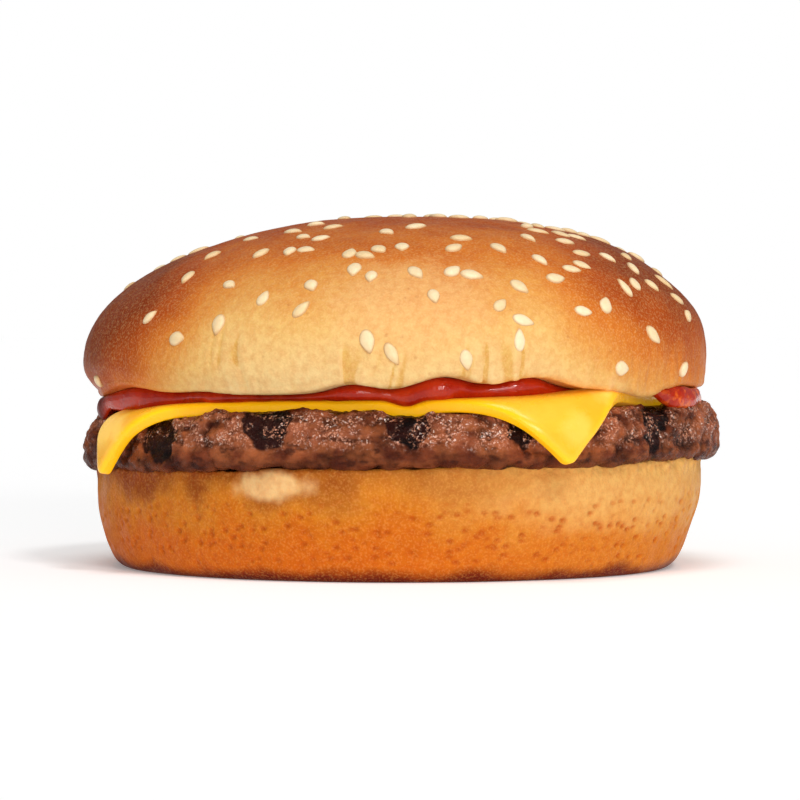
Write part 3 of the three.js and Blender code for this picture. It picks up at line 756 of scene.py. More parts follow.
crown_points = crown_grid()
is_crust = np.arange(crown_points.shape[1]) >= len(UNDER_STEPS)
below_top = ease(BURGER_HEIGHT + 0.3, BURGER_HEIGHT - 1, crown_points[..., 2])
crown_relief = crust_relief(crown_points) * is_crust * below_top
crown = skin_piece("crown_crust", push_out(crown_points, crown_relief), wrinkle=wrinkles(crown_points))

# %% [markdown]
# ## The sesame seeds
#
# Seeds are sprinkled on wet dough, so they lie flat, turned every way, thick on top and thin near the edge.
# A rule draws places from a repeatable stream, keeps a place by its chance, and refuses any that is too near
# another. The seeds of the front come first, from a list, because that is the side the burger shows. Each
# seed is a flattened drop, rounder at one end, a little different in size, and sunk slightly into the crust.

# %% Seed places
SEED_LENGTH = 3.5
SEED_WIDTH = 2.25
SEED_THICKNESS = 1.25
SEED_POINT = 0.42
SEED_SUNK = 0.15
SEED_COUNT = 160
SEED_SPACING = 2.7
SEED_EVENNESS = 0.56
FRONT_ENDS = {"from": -14, "to": -4}
THICK_ON_TOP = {"least": 0.05, "by": 0.95, "from": 0.25, "to": 0.62}
THICKER_SIDE = {"middle": 0.72, "by": 0.28, "bearing": -15}
FRONT_TRIES = 20
RANDOM = {"start": 20261, "times": 48271, "modulus": 2147483647}
FRONT_SEEDS = [
    (-47.6, 29.9, 30), (-38.9, 40.2, 50), (-34.3, 36.9, 0), (-33.1, 46.3, -65),
    (-29.5, 49.7, -80), (-27.7, 39.1, -85), (-26.2, 45.2, -20), (-23.5, 52.3, 15),
    (-21.5, 50, 85), (-20.8, 43.1, 85), (-17.1, 50.3, -70), (-16.8, 53.4, 5),
    (-15, 52.5, -10), (-14.9, 41.4, 55), (-14.5, 50.6, -10), (-13.5, 45, -60),
    (-13.3, 54.5, 30), (-12.3, 52.3, 35), (-10.5, 54.1, 45), (-7.7, 49.9, 90),
    (-7, 47.5, -85), (-5.3, 49.5, -25), (-4.9, 36.6, -75), (-4.4, 46.4, -90),
    (-3.2, 50.4, -50), (-2, 53.1, -45), (-1.2, 34.7, -60), (0.3, 50.7, -85),
    (2.4, 47, -60), (2.5, 53.9, 30), (5.1, 43.5, -80), (8, 47.3, 45),
    (8.3, 50.7, 40), (9.4, 52.1, -10), (10, 33.8, -80), (10.9, 46.7, -20),
    (15.2, 42.2, 45), (15.2, 50.7, -80), (18.1, 36.8, 85), (18.2, 45, -55),
    (18.7, 39.8, -20), (19.9, 52.2, -90), (21.5, 48.9, -80), (21.7, 53.5, -60),
    (23.8, 46.1, 0), (25.3, 53.1, 85), (25.8, 51.8, -30), (26.4, 47.5, -15),
    (27.8, 52.6, -65), (28, 41.1, -10), (28.1, 48.1, -45), (28.3, 50, -10),
    (31.5, 42, 55), (32.5, 49.4, -80), (33.8, 32.3, -5), (34.8, 44.7, 90),
    (35.7, 49.6, 45), (36.5, 45.3, 65), (36.5, 47.7, 60), (39.1, 37.3, -40),
    (39.4, 45, -70), (41.7, 45.5, -80), (43.6, 42.8, -35), (44.4, 31.9, 40),
    (45.3, 40.3, 30),
]


def random_stream():
    """A repeatable stream of numbers from 0 to 1."""
    state = RANDOM["start"]
    while True:
        state = state * RANDOM["times"] % RANDOM["modulus"]
        yield state / RANDOM["modulus"]


def crust_point(bearing, height):
    radius = crown_radius(bearing, height)
    return np.array([radius * math.cos(bearing), radius * math.sin(bearing), height])


def seed_chance(bearing, height):
    """How likely a drawn place is kept: thick on top, thin near the edge, and left to the list in front."""
    widest = widest_height(bearing)
    up = (height - widest) / (BURGER_HEIGHT - widest)
    by_height = THICK_ON_TOP["least"] + THICK_ON_TOP["by"] * eased(THICK_ON_TOP, up)
    off_side = bearing - math.radians(THICKER_SIDE["bearing"])
    by_side = THICKER_SIDE["middle"] + THICKER_SIDE["by"] * math.cos(off_side)
    return by_height * by_side * eased(FRONT_ENDS, crust_point(bearing, height)[1])


def front_bearing(right, height):
    """The bearing on the front half at which the crust at this height is that far to the right."""
    bearing = -math.pi / 2
    for _ in range(FRONT_TRIES):
        bearing = -math.acos(right / max(abs(right) + 0.01, crown_radius(bearing, height)))
    return bearing


def seed_places():
    """Bearing, height and turn of each seed."""
    places = [(front_bearing(right, up), up, math.radians(turn)) for right, up, turn in FRONT_SEEDS]
    spots = [crust_point(bearing, height) for bearing, height, turn in places]
    random = random_stream()
    while len(places) < SEED_COUNT:
        bearing = (next(random) * 2 - 1) * math.pi
        height = float(dome_height(bearing, math.asin(next(random) ** SEED_EVENNESS) * 2 / math.pi))
        sticks = next(random) < seed_chance(bearing, height)
        turn = next(random) * math.pi
        spot = crust_point(bearing, height)
        if sticks and min(np.linalg.norm(other - spot) for other in spots) > SEED_SPACING:
            places.append((bearing, height, turn))
            spots.append(spot)
    return places


# %% One seed
SEED_SEGMENTS = 16
SEED_RINGS = 9


def seed_shape():
    """Points and faces of one seed: pointed towards +x, flat against z, from its underside to its top."""
    turn = np.arange(SEED_SEGMENTS) / SEED_SEGMENTS * 2 * math.pi
    rise = np.linspace(-math.pi / 2, math.pi / 2, SEED_RINGS + 2)[1:-1]
    x = np.cos(rise)[:, None] * np.cos(turn)
    y = np.cos(rise)[:, None] * np.sin(turn) * (1 - SEED_POINT * ease(-0.2, 1, x))
    z = np.sin(rise)[:, None] + 0 * x
    points = np.concatenate([np.stack([x, y, z], -1).reshape(-1, 3), [[0, 0, -1], [0, 0, 1]]])
    bottom, top = len(points) - 2, len(points) - 1
    last = bottom - SEED_SEGMENTS
    faces = []
    for i in range(SEED_SEGMENTS):
        j = (i + 1) % SEED_SEGMENTS
        faces += [(bottom, j, i), (top, last + i, last + j)]
        for ring in range(0, last, SEED_SEGMENTS):
            above = ring + SEED_SEGMENTS
            faces.append((ring + i, ring + j, above + j, above + i))
    return points, faces


# %% Lay the seeds
SEED_VARIES = {"least": 0.85, "range": 0.3}
CRUST_STEP = 0.02


def unit(vector):
    return vector / np.linalg.norm(vector)


def lay_seed(shape, place, number):
    """One seed's points, flat on the crust, and its size a little different from the next one's."""
    bearing, height, turn = place
    level = unit(crust_point(bearing + CRUST_STEP, height) - crust_point(bearing - CRUST_STEP, height))
    up = crust_point(bearing, height + CRUST_STEP) - crust_point(bearing, height - CRUST_STEP)
    normal = unit(np.cross(level, up))
    forward = level * math.cos(turn) + np.cross(normal, level) * math.sin(turn)
    sideways = np.cross(normal, forward)
    draws = lattice(np.array([[number, axis, 5] for axis in range(3)]), 71)
    size = np.array([SEED_LENGTH, SEED_WIDTH, SEED_THICKNESS]) / 2
    size = size * (draws * SEED_VARIES["range"] + SEED_VARIES["least"])
    spot = crust_point(bearing, height)
    spot = spot + normal * (crust_relief(spot[None, :])[0] - SEED_SUNK)
    return spot + (shape * size) @ np.array([forward, sideways, normal])


def new_seeds():
    """All seeds in one piece, marked with a tint of their own and how far along and up each point lies."""
    shape, shape_faces = seed_shape()
    laid = [lay_seed(shape, place, number) for number, place in enumerate(seed_places())]
    faces = []
    for first in range(0, len(laid) * len(shape), len(shape)):
        faces += [tuple(corner + first for corner in face) for face in shape_faces]
    tint = lattice(np.array([[number, 3, 8] for number in range(len(laid))]), 72)
    along, up = np.tile(shape[:, 0], len(laid)), np.tile(shape[:, 2], len(laid))
    marks = {"tint": np.repeat(tint, len(shape)), "along": along, "up": up}
    return new_piece("sesame_seeds", np.concatenate(laid), faces, marks)


seeds = new_seeds()

# %% [markdown]
# ## Building shaders with little code
#
# A material is a graph of nodes. This class holds one graph and adds a node at a time. It takes either a
# plain value or another node's output for each input, so that the recipes below read like a list of
# ingredients. The food's colours are written as they look on screen.


# %% Screen colours and socket names
def screen(color):
    """A screen colour, 0 to 255, as the linear one that shaders use. A node's output stays as it is."""
    if isinstance(color, bpy.types.NodeSocket):
        return color
    parts = [part / 255 for part in color]
    return tuple(c / 12.92 if c <= 0.04045 else ((c + 0.055) / 1.055) ** 2.4 for c in parts) + (1,)


def socket_names(values):
    """Values by the names that Blender gives its sockets: base_color is Base Color."""
    return {key.replace("_", " ").title().replace("Ior", "IOR"): value for key, value in values.items()}


# %% A graph of nodes
class Graph:
    """A node tree, and the place on the food, in millimetres, that its patterns are read at."""

    def __init__(self, tree, place=None):
        self.tree = tree
        self.place = place

    def fill(self, socket, value):
        if isinstance(value, bpy.types.NodeSocket):
            self.tree.links.new(value, socket)
        else:
            socket.default_value = value

    def add(self, kind, inputs=None, **settings):
        """Adds a node, sets its properties, fills its inputs, and gives its outputs."""
        made = self.tree.nodes.new("ShaderNode" + kind)
        for key, value in settings.items():
            setattr(made, key, value)
        for key, value in (inputs or {}).items():
            self.fill(made.inputs[key], value)
        return made.outputs

    def math(self, operation, a, b=0.0):
        return self.add("Math", {0: a, 1: b}, operation=operation)[0]

    def plus(self, a, b):
        return self.math("ADD", a, b)

    def minus(self, a, b):
        return self.math("SUBTRACT", a, b)

    def times(self, a, b):
        return self.math("MULTIPLY", a, b)

    def over(self, a, b):
        return self.math("DIVIDE", a, b)

    def remap(self, value, low, high, to_low=0.0, to_high=1.0, curve="SMOOTHSTEP"):
        """A value's stretch from low to high, stretched to another one, smoothly unless told otherwise."""
        values = {"Value": value, "From Min": low, "From Max": high, "To Min": to_low, "To Max": to_high}
        return self.add("MapRange", values, interpolation_type=curve)["Result"]

    def blend(self, share, a, b, way="MIX"):
        values = {0: share, 6: screen(a), 7: screen(b)}
        return self.add("Mix", values, data_type="RGBA", blend_type=way)[2]

    def ramp(self, value, stops):
        """A colour for each value. Stops are pairs of a position and a screen colour, the two ends first."""
        made = self.add("ValToRGB", {0: value})["Color"]
        colors = made.node.color_ramp.elements
        for i, (position, color) in enumerate(stops):
            stop = colors[i] if i < 2 else colors.new(position)
            stop.position = position
            stop.color = screen(color)
        return made

    def spot(self):
        """The place's own X, Y and Z."""
        return self.add("SeparateXYZ", {0: self.place})

    def noise(self, **values):
        return self.add("TexNoise", {"Vector": self.place, **socket_names(values)})[0]

    def mark(self, name):
        """The numbers that a mesh keeps on its vertices under this name."""
        return self.add("Attribute", attribute_name=name)["Fac"]


# %% [markdown]
# ## Effects that several foods share
#
# Four effects turn up again and again, so each is a node group with its own inputs: blotches, where colour
# drifts from place to place; moisture, which makes roughness flicker between wet and dry; a patch, one ragged
# oval of another colour, which several foods use for painted highlights; and crust, the orange-peel grain of
# both buns, whose mask paints its pale specks as sparkle. A group is built once and placed with other values
# each time.


# %% Node groups
def new_group(name, inputs, make):
    """A group. Inputs are names with default values, and its maker turns them into named outputs."""
    tree = bpy.data.node_groups.new(name, "ShaderNodeTree")
    tree.interface.new_socket("Vector", in_out="INPUT", socket_type="NodeSocketVector")
    for key, value in inputs.items():
        tree.interface.new_socket(key, in_out="INPUT", socket_type="NodeSocketFloat").default_value = value
    given = tree.nodes.new("NodeGroupInput").outputs
    made = make(Graph(tree, given["Vector"]), given)
    for key in made:
        tree.interface.new_socket(key, in_out="OUTPUT", socket_type="NodeSocketFloat")
    result = tree.nodes.new("NodeGroupOutput")
    for key, value in made.items():
        tree.links.new(value, result.inputs[key])
    return tree


def blotches(graph, given):
    noise = graph.noise(scale=graph.over(1.0, given["Size"]), detail=given["Detail"])
    return {"Mask": graph.remap(noise, given["Low"], given["High"])}


def moisture(graph, given):
    noise = graph.noise(scale=graph.over(1.0, given["Size"]), detail=4.0)
    return {"Roughness": graph.remap(noise, 0.4, 0.62, given["Wet"], given["Dry"])}


def patch(graph, given):
    spot = graph.spot()
    across = graph.over(graph.minus(spot["X"], given["Right"]), given["Wide"])
    up = graph.over(graph.minus(spot["Z"], given["Height"]), given["Tall"])
    off = graph.math("SQRT", graph.plus(graph.times(across, across), graph.times(up, up)))
    ragged = graph.times(graph.minus(graph.noise(scale=0.35, detail=3.0), 0.5), given["Ragged"])
    return {"Mask": graph.remap(graph.plus(off, ragged), 1.15, 0.45)}


def crust(graph, given):
    peel = graph.noise(scale=given["Peel"])
    crumb = graph.noise(scale=given["Crumb"], detail=6.0)
    height = graph.plus(crumb, graph.times(peel, given["Share"]))
    # The mask paints sparkle: the pale specks of the grain.
    return {"Mask": graph.remap(peel, 0.46, 0.66), "Height": height}


GROUPS = {
    "blotches": new_group("Food blotches", {"Size": 5, "Detail": 3, "Low": 0.3, "High": 0.7}, blotches),
    "moisture": new_group("Food moisture", {"Size": 1.5, "Wet": 0.2, "Dry": 0.6}, moisture),
    "patch": new_group("Food patch", {"Right": 0, "Height": 30, "Wide": 10, "Tall": 5, "Ragged": 0.8}, patch),
    "crust": new_group("Food crust", {"Peel": 3, "Crumb": 1.3, "Share": 0.6}, crust),
}
print("Node groups:", ", ".join(tree.name for tree in GROUPS.values()))

# %% [markdown]
# ## A material as layers of colour
#
# Most of a food's look is one colour laid over another through a mask. So a finish remembers the colour
# painted so far, `use` places a shared effect, and `stain` lays the next colour on.


# %% A finish
class Finish(Graph):
    """A material, the inputs of its Principled shader, and the colour painted so far."""

    def __init__(self, name, **shader_values):
        self.material = bpy.data.materials.new(name)
        self.material.use_nodes = True
        super().__init__(self.material.node_tree)
        self.shader = self.tree.nodes["Principled BSDF"].inputs
        self.feed(**shader_values)
        where = self.add("TexCoord")["Object"]
        self.place = self.add("VectorMath", {0: where, 1: (1 / MM,) * 3}, operation="MULTIPLY")[0]

    def feed(self, **values):
        """Gives inputs of the shader a value or a node's output."""
        for key, value in socket_names(values).items():
            self.fill(self.shader[key], value)

    def use(self, group, **values):
        """Places a shared effect and gives its first output."""
        inputs = {"Vector": self.place, **socket_names(values)}
        return self.add("Group", inputs, node_tree=GROUPS[group])[0]

    def stain(self, mask, color, strength=1.0, way="MIX"):
        """Lays a colour over what is painted so far, where the mask is high."""
        self.color = self.blend(self.times(mask, strength), self.color, color, way)

    def bump(self, height, millimetres, strength):
        values = {"Height": height, "Distance": millimetres * MM, "Strength": strength}
        self.feed(normal=self.add("Bump", values)["Normal"])


# %% [markdown]
# ## Crown crust
#
# An egg-washed crust is darkest where the oven's heat came from above and palest near the lower edge, where
# the dough was shaded. So the colour is read from the height, with blotches added so that the change never
# runs level, and both sides count as higher, partly because they baked darker and partly as painted shade
# where they turn away from the light. The wash leaves only a low sheen, and a paler patch in front is its
# painted highlight. The wrinkles' own mark paints shade into the creases and light on to the folds, and the
# pale specks of the orange-peel grain are painted sparkle.

# %% Crown material
CRUST_BAKES = {"from": 30, "to": 63}
CRUST_COLORS = [
    (0, (230, 198, 138)), (1, (136, 54, 12)), (0.36, (230, 184, 108)),
    (0.52, (222, 152, 72)), (0.66, (212, 122, 44)), (0.82, (178, 80, 22)),
]
SPECKS = {"size": 2.3, "reach": 0.2, "patches": 14}


def crown_specks(look):
    """Small dark pores, gathered in patches."""
    cells = look.add("TexVoronoi", {"Vector": look.place, "Scale": 1 / SPECKS["size"]})
    pits = look.remap(cells["Distance"], SPECKS["reach"], 0.0)
    return look.times(pits, look.remap(look.noise(scale=1 / SPECKS["patches"]), 0.4, 0.6))


def crown_material():
    look = Finish("crown_bread", subsurface_weight=0.03, subsurface_scale=0.002, specular_ior_level=0.05)
    spot = look.spot()
    # Partly painted shade: both sides read as higher, partly for darker baking and partly for the shade where
    # they turn from the light.
    sides = look.plus(look.remap(spot["X"], -22, -50, 0, 27), look.remap(spot["X"], 14, 50, 0, 19))
    drift = look.times(look.use("blotches", size=14), 4)
    level = look.plus(look.plus(spot["Z"], sides), drift)
    baked = look.remap(level, CRUST_BAKES["from"], CRUST_BAKES["to"], curve="LINEAR")
    look.color = look.ramp(baked, CRUST_COLORS)
    # Painted highlight: a paler patch in front stands for the sheen of the wash.
    look.stain(look.use("patch", right=2, height=42, wide=15, tall=7.5), (234, 182, 118), 0.6)
    # Painted shade in the creases and painted light on the folds, both read from the wrinkles' mark.
    wrinkle = look.mark("wrinkle")
    look.stain(look.remap(wrinkle, -0.12, -0.5), (210, 156, 60), look.remap(baked, 0.5, 0.2, 0, 0.6))
    look.stain(look.remap(wrinkle, 0.1, 0.5), (252, 226, 176), look.remap(baked, 0.5, 0.3, 0, 0.3))
    look.stain(look.use("blotches", size=1.1, detail=5), (226, 160, 104), 0.3, "MULTIPLY")
    look.stain(crown_specks(look), (168, 82, 34), 0.35)
    peel = look.use("crust", peel=3, crumb=1.3, share=0.6)
    # Painted sparkle: pale specks of the orange-peel grain.
    look.stain(peel, (255, 214, 150), 0.16)
    look.feed(base_color=look.color, roughness=look.use("moisture", size=3, wet=0.34, dry=0.5))
    look.bump(peel.node.outputs["Height"], 0.14, 0.8)
    return look.material


# %% [markdown]
# ## Heel crust
#
# The heel baked against the tray and was toasted again on the griddle. Its foot darkens to a thin dark line,
# partly scorched on the tray and partly painted shade where it meets the floor. The side is a strong golden
# orange that turns pale to the right, partly floury and partly painted light from the right, and painted
# shade deepens the pores. The cut edge above is darker on the left, partly browned by fat from the patty and
# partly painted shade under its overhang, around one pale spot. Pale specks of the orange-peel grain are
# painted sparkle.


# %% Heel material
def heel_material():
    look = Finish("heel_bread", subsurface_weight=0.05, subsurface_scale=0.002, specular_ior_level=0.06)
    spot = look.spot()
    drift = look.use("blotches", size=9, detail=4)
    level = look.plus(spot["Z"], look.times(look.minus(drift, 0.5), 5))
    pale = look.remap(level, 4, 15)
    left = look.ramp(pale, [(0, (206, 104, 18)), (1, (210, 132, 40)), (0.5, (204, 116, 24))])
    right = look.ramp(pale, [(0, (212, 126, 36)), (1, (228, 174, 96)), (0.5, (220, 148, 60))])
    # Partly painted light: the right side is paler, partly floury crust and partly light from the right, with
    # a paler patch.
    look.color = look.blend(look.remap(spot["X"], -6, 42), left, right)
    look.stain(look.use("patch", right=32, height=11.5, wide=19, tall=5), (236, 184, 110), 0.4)
    # Partly painted shade: the cut edge darkens on the left, partly browned by fat and partly shaded by the
    # patty above.
    soaked_and_shaded = look.times(look.remap(level, 10.5, 16), look.remap(spot["X"], 34, -30))
    look.stain(soaked_and_shaded, (138, 58, 16), 0.9)
    # One pale spot on the cut edge.
    bare = look.use("patch", right=-19.5, height=14.6, wide=6.6, tall=2.6, ragged=0.9)
    look.stain(bare, (244, 200, 136), 0.9)
    look.stain(look.use("blotches", size=1.2, detail=5), (214, 140, 84), 0.3, "MULTIPLY")
    # Painted shade darkens the pores.
    look.stain(look.mark("pore"), (184, 80, 14), 0.7)
    # Partly painted shade: the foot darkens to a thin line, scorched on the tray and shaded where it meets
    # the floor.
    foot_scorch_and_shade = look.plus(spot["Z"], look.times(drift, -1.4))
    look.stain(look.remap(foot_scorch_and_shade, 2.2, -0.4), (112, 30, 6))
    peel = look.use("crust", peel=2.8, crumb=1.1, share=0.5)
    # Painted sparkle: pale specks of the orange-peel grain.
    look.stain(peel, (250, 180, 96), 0.16)
    look.feed(base_color=look.color, roughness=look.use("moisture", size=4, wet=0.4, dry=0.6))
    look.bump(peel.node.outputs["Height"], 0.2, 0.9)
    return look.material


# %% [markdown]
# ## Grilled beef
#
# Browned mince is never one brown: painted shade makes the crevices and small cracks nearly black-red, the
# crests are painted lighter and a little pink as highlights, and strands of meat still show in the char. The
# charred bands come from the mark that the shape left on the vertices. Small beads of fat sit on the crests,
# painted pale as their glints. They are the dots of a cell pattern, bent by noise and gathered by another,
# and only they are coated, so they also glint in the lamps while the dry char stays dull.


# %% Patty material
def meat_colors(look, height, stretched):
    """Paints the meat and its char, and gives a mask of each point's char and one of the crests, which are
    painted lighter as highlights.
    """
    strands = look.use("blotches", vector=stretched, size=2.2, detail=6, low=0.38, high=0.62)
    broad = look.use("blotches", detail=4, low=0.35, high=0.65)
    look.color = look.blend(broad, (78, 30, 17), (136, 66, 38))
    look.stain(strands, (188, 106, 60), 0.6)
    look.stain(look.remap(height, 20, 17.2), (76, 30, 14), 0.6)
    greasy = look.use("blotches", size=3.6, low=0.38, high=0.54)
    crests = look.times(look.remap(height, 19.6, 22), greasy)
    # Painted highlight: the crests are painted lighter.
    look.stain(crests, (176, 100, 68), 0.55)
    # Painted shade in small cracks.
    crack_shade = look.use("blotches", vector=stretched, size=1.6, detail=6, low=0.48, high=0.32)
    look.stain(crack_shade, (50, 17, 9), 0.8)
    # Painted shade in the crevices between granules, from the shape's own mark.
    look.stain(look.mark("crevice"), (36, 11, 6))
    ragged = look.times(look.minus(strands, 0.6), 0.35)
    charred = look.remap(look.plus(look.mark("char"), ragged), 0.15, 0.7)
    look.stain(charred, look.blend(strands, (12, 3, 3), (44, 14, 10)))
    return charred, crests


def fat_bead_glints(look, crests):
    """A mask of the beads of fat, whose pale paint is their glint, and how bright each of them is."""
    warp = look.noise(scale=1.8, detail=4).node.outputs["Color"]
    bent = look.add("VectorMath", {0: look.place, 1: warp}, operation="ADD")[0]
    dots = look.add("TexVoronoi", {"Vector": bent, "Scale": 2.5})
    shine = look.add("SeparateColor", {0: dots["Color"]})["Red"]
    fat = look.times(look.remap(dots["Distance"], 0.65, 0.25), look.remap(shine, 0, 0.5))
    gathered = look.times(look.use("blotches", size=1.6, detail=4, low=0.36, high=0.5), crests)
    return look.times(fat, gathered), shine


def patty_material():
    look = Finish("grilled_beef", subsurface_weight=0.04, subsurface_scale=0.0012, specular_ior_level=0.08)
    stretched = look.add("VectorMath", {0: look.place, 1: (0.55, 0.55, 1)}, operation="MULTIPLY")[0]
    charred, crests = meat_colors(look, look.spot()["Z"], stretched)
    fat, shine = fat_bead_glints(look, crests)
    dry = look.times(charred, look.use("blotches", size=2.6, low=0.56, high=0.46))
    beads = look.times(fat, look.remap(dry, 0, 0.9, 1, 0.04))
    # Painted glints: the beads of fat are painted pale pink to white.
    look.stain(beads, look.blend(look.remap(shine, 0.75, 1), (228, 154, 120), (255, 226, 210)))
    look.feed(base_color=look.color, roughness=look.use("moisture", size=0.8, wet=0.14, dry=0.46))
    look.feed(coat_weight=beads, coat_roughness=0.08)
    grain = look.noise(scale=2.2, detail=6, roughness=0.7)
    look.bump(look.plus(grain, look.times(fat, 0.4)), 0.35, 1)
    return look.material


# %% [markdown]
# ## Cheese
#
# Processed cheese is smooth, and light travels a few millimetres into it, so most of its look is subsurface
# scattering and a soft shine. A slice this thin is lit right through, and a little emission, painted light,
# stands for that and also brightens the slice where the crown shades it. The face drifts in colour and has
# painted highlights on its corners and its front point, and the cut edge is a deeper yellow.


# %% Cheese material
def cheese_material():
    look = Finish("cheese", subsurface_weight=0.5, subsurface_scale=0.004, subsurface_radius=(1, 0.8, 0.3))
    look.feed(specular_ior_level=0.3, coat_weight=0.12, coat_roughness=0.2)
    # Painted highlights: the left corner, the right corner and the front point are paler.
    left_corner = look.use("patch", right=-47, height=24, wide=5, tall=5)
    right_corner = look.use("patch", right=37, height=28.4, wide=8, tall=2.5)
    tip = look.times(look.use("patch", right=26.5, height=23.2, wide=2.6, tall=3.2), 0.45)
    pale = look.plus(look.plus(left_corner, right_corner), tip)
    cut = look.mark("cut")
    look.color = look.blend(look.use("blotches", size=9, detail=2), (255, 176, 28), (255, 188, 48))
    look.stain(pale, (255, 206, 104), 0.9)
    look.stain(cut, (255, 178, 8))
    # Painted light: emission brightens the slice, most on the cut edge and the paler corners.
    painted_glow = look.blend(pale, look.blend(cut, (170, 118, 28), (255, 190, 16)), (246, 180, 60))
    look.feed(base_color=look.color, emission_color=painted_glow, emission_strength=0.32)
    look.feed(roughness=look.use("moisture", size=5, wet=0.26, dry=0.4))
    look.bump(look.noise(scale=0.5, detail=3), 0.12, 0.35)
    return look.material


# %% [markdown]
# ## Ketchup
#
# Ketchup is wet and nearly opaque, so it has a sharp coat and little scattering. Its red drifts from place
# to place. At the right it is coarser and streaked with orange oil, and at the left end it turns dark and
# less shiny.


# %% Ketchup material
def ketchup_material():
    look = Finish("ketchup", subsurface_weight=0.08, subsurface_scale=0.0015, subsurface_radius=(1, 0.2, 0.1))
    look.feed(specular_ior_level=0.12, coat_roughness=0.03)
    right = look.spot()["X"]
    look.color = look.blend(look.use("blotches", size=3.5), (166, 28, 6), (192, 50, 12))
    oily = look.use("blotches", size=1.8, detail=4, low=0.48, high=0.62)
    look.stain(oily, (232, 104, 28), look.remap(right, 38, 44, 0, 0.8))
    # The left end turns dark and less shiny.
    dark_left_end = look.remap(right, -45.8, -47.6, 0, 0.85)
    look.stain(dark_left_end, (96, 28, 14))
    wet = look.plus(look.use("moisture", size=2, wet=0.1, dry=0.26), look.times(dark_left_end, 0.3))
    look.feed(base_color=look.color, roughness=wet, coat_weight=look.remap(dark_left_end, 0, 0.85, 0.4, 0))
    look.bump(look.noise(scale=1.6, detail=4), 0.2, 0.8)
    return look.material


# %% [markdown]
# ## Sesame seeds
#
# A seed is matt cream, each a little different, browner at its point, with painted shade round the rim
# where it meets the crust, and with faint veins. The marks on the vertices say where its point and its rim
# are.


# %% Seed material
def seed_material():
    look = Finish("sesame", subsurface_weight=0.15, subsurface_scale=0.0008, subsurface_radius=(1, 0.8, 0.5))
    look.color = look.blend(look.mark("tint"), (248, 226, 186), (236, 206, 156))
    look.stain(look.remap(look.mark("along"), 0.35, 1), (214, 168, 104), 0.4)
    # Painted shade round the rim, where the seed meets the crust.
    look.stain(look.remap(look.mark("up"), 0.72, 0.25), (196, 140, 80), 0.6)
    veins = look.use("blotches", size=0.7, low=0.35, high=0.65)
    look.stain(veins, (220, 180, 120), 0.12, "MULTIPLY")
    look.feed(base_color=look.color, roughness=0.42, specular_ior_level=0.35)
    return look.material


# %% [markdown]
# ## Dress and attach
#
# Each fine piece gets its material, rides on the burger's one body, and replaces the plain solid it was made
# from. The seeds and the crust share one solid, so both replace it.

# %% Attach the pieces
DRESSING = [
    (heel, "heel_bun", "heel_bread", heel_material()),
    (patty, "patty", "grilled_beef", patty_material()),
    (cheese, "cheese_slice", "cheese", cheese_material()),
    (ketchup, "ketchup", "ketchup", ketchup_material()),
    (crown, "crown_bun", "crown_bread", crown_material()),
    (seeds, "crown_bun", "sesame", seed_material()),
]
for piece, node, finish, material in DRESSING:
    piece.data.materials.append(material)
    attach(piece, "root")
    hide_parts(node)
print("Dressed:", ", ".join(piece.name for piece, *_ in DRESSING))

# %% [markdown]
# ## Floor, light and camera
#
# Food on a white sweep is lit by soft sources: a key from the upper right, which casts the shadow, a broad
# one overhead, which lays the sheen on the crown, a broad one in front, which lights the layers, and a small
# one that makes fat and ketchup glint. The camera sees the world white, but the world lights the burger only
# dimly. The camera is far away with a long lens, nearly level with the burger, so that the layers show
# side-on and hardly converge.

# %% Floor
FLOOR_HALF = 3.0
FLOOR_COLORS = {"base_color": (0.97, 0.97, 0.97, 1), "emission_color": (1, 1, 1, 1), "emission_strength": 0.2}
floor_mesh = bpy.data.meshes.new("floor")
floor_corners = [(x * FLOOR_HALF, y * FLOOR_HALF, 0) for x, y in ((-1, -1), (1, -1), (1, 1), (-1, 1))]
floor_mesh.from_pydata(floor_corners, [], [(0, 1, 2, 3)])
floor_finish = Finish("floor_white", roughness=0.9, specular_ior_level=0.1, **FLOOR_COLORS)
floor_mesh.materials.append(floor_finish.material)
floor = new_object("floor", floor_mesh)
floor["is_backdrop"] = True


# %% Light
def direction(place, aim):
    """The turn that points an object's -Z from a place to an aim, with its Y upwards."""
    away = [a - p for a, p in zip(aim, place)]
    flat = math.hypot(away[0], away[1])
    return (math.atan2(flat, -away[2]), 0, math.atan2(-away[0], away[1]))


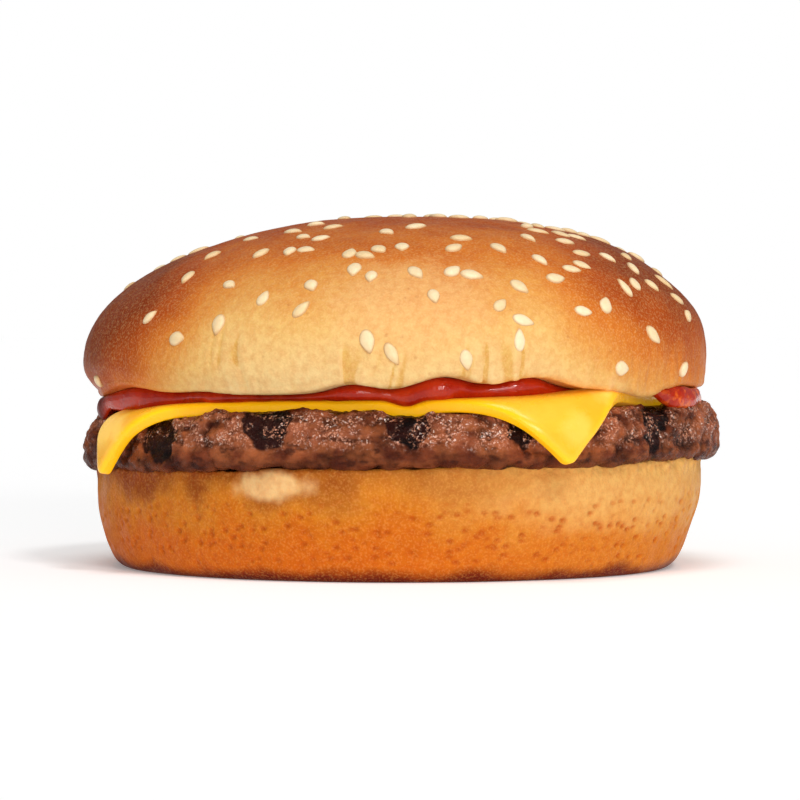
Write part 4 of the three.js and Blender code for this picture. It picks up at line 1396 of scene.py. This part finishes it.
def studio_light(name, place, strength, softness):
    """An even light from the side of a place, whose softness is how wide it looks, in degrees."""
    lamp = bpy.data.lights.new(name, "SUN")
    lamp.energy = strength
    lamp.angle = math.radians(softness)
    new_object(name, lamp).rotation_euler = direction(place, (0, 0, 0))


studio_light("key", (0.3, -0.6, 0.8), 0.8, 10)
studio_light("overhead", (0, -0.3, 1), 1.1, 30)
studio_light("front", (0.15, -1, 0.08), 1.1, 25)
studio_light("glint", (0.35, -0.9, 0.22), 0.5, 6)

# %% World
WORLD_SEEN = 1.0
WORLD_LIGHTS = 0.25
world = bpy.data.worlds.new("white_studio")
bpy.context.scene.world = world
world.use_nodes = True
world.node_tree.nodes.clear()
sky = Graph(world.node_tree)
seen, lit = (sky.add("Background", {"Strength": strength})[0] for strength in (WORLD_SEEN, WORLD_LIGHTS))
for white in (seen, lit):
    white.node.inputs["Color"].default_value = (1, 1, 1, 1)
is_camera = sky.add("LightPath")["Is Camera Ray"]
sky.add("OutputWorld", {"Surface": sky.add("MixShader", {0: is_camera, 1: lit, 2: seen})[0]})

# %% Camera
MIDDLE = (0, 0, 26.5 * MM)
VIEW_DISTANCE = 0.7
VIEW_RISE = math.radians(1.5)
FRAME_WIDTH = 129.03 * MM
SENSOR = 36
camera_data = bpy.data.cameras.new("camera")
camera_data.sensor_width = SENSOR
camera_data.lens = SENSOR * VIEW_DISTANCE / FRAME_WIDTH
camera = new_object("camera", camera_data)
camera.location = (0, -VIEW_DISTANCE * math.cos(VIEW_RISE), MIDDLE[2] + VIEW_DISTANCE * math.sin(VIEW_RISE))
camera.rotation_euler = direction(camera.location, MIDDLE)
bpy.context.scene.camera = camera
bpy.context.scene.view_settings.view_transform = "Standard"
print(f"Lens {camera_data.lens:.0f} mm")

# %% [markdown]
# ## Check the size and finish
#
# The dressed burger has to fill the same box as the technical model.

# %% Compare the boxes
dressed_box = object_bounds()
for side, before, after in zip(("low", "high"), cad_box, dressed_box):
    print(side, [round(v * 1000, 2) for v in before], [round(v * 1000, 2) for v in after])
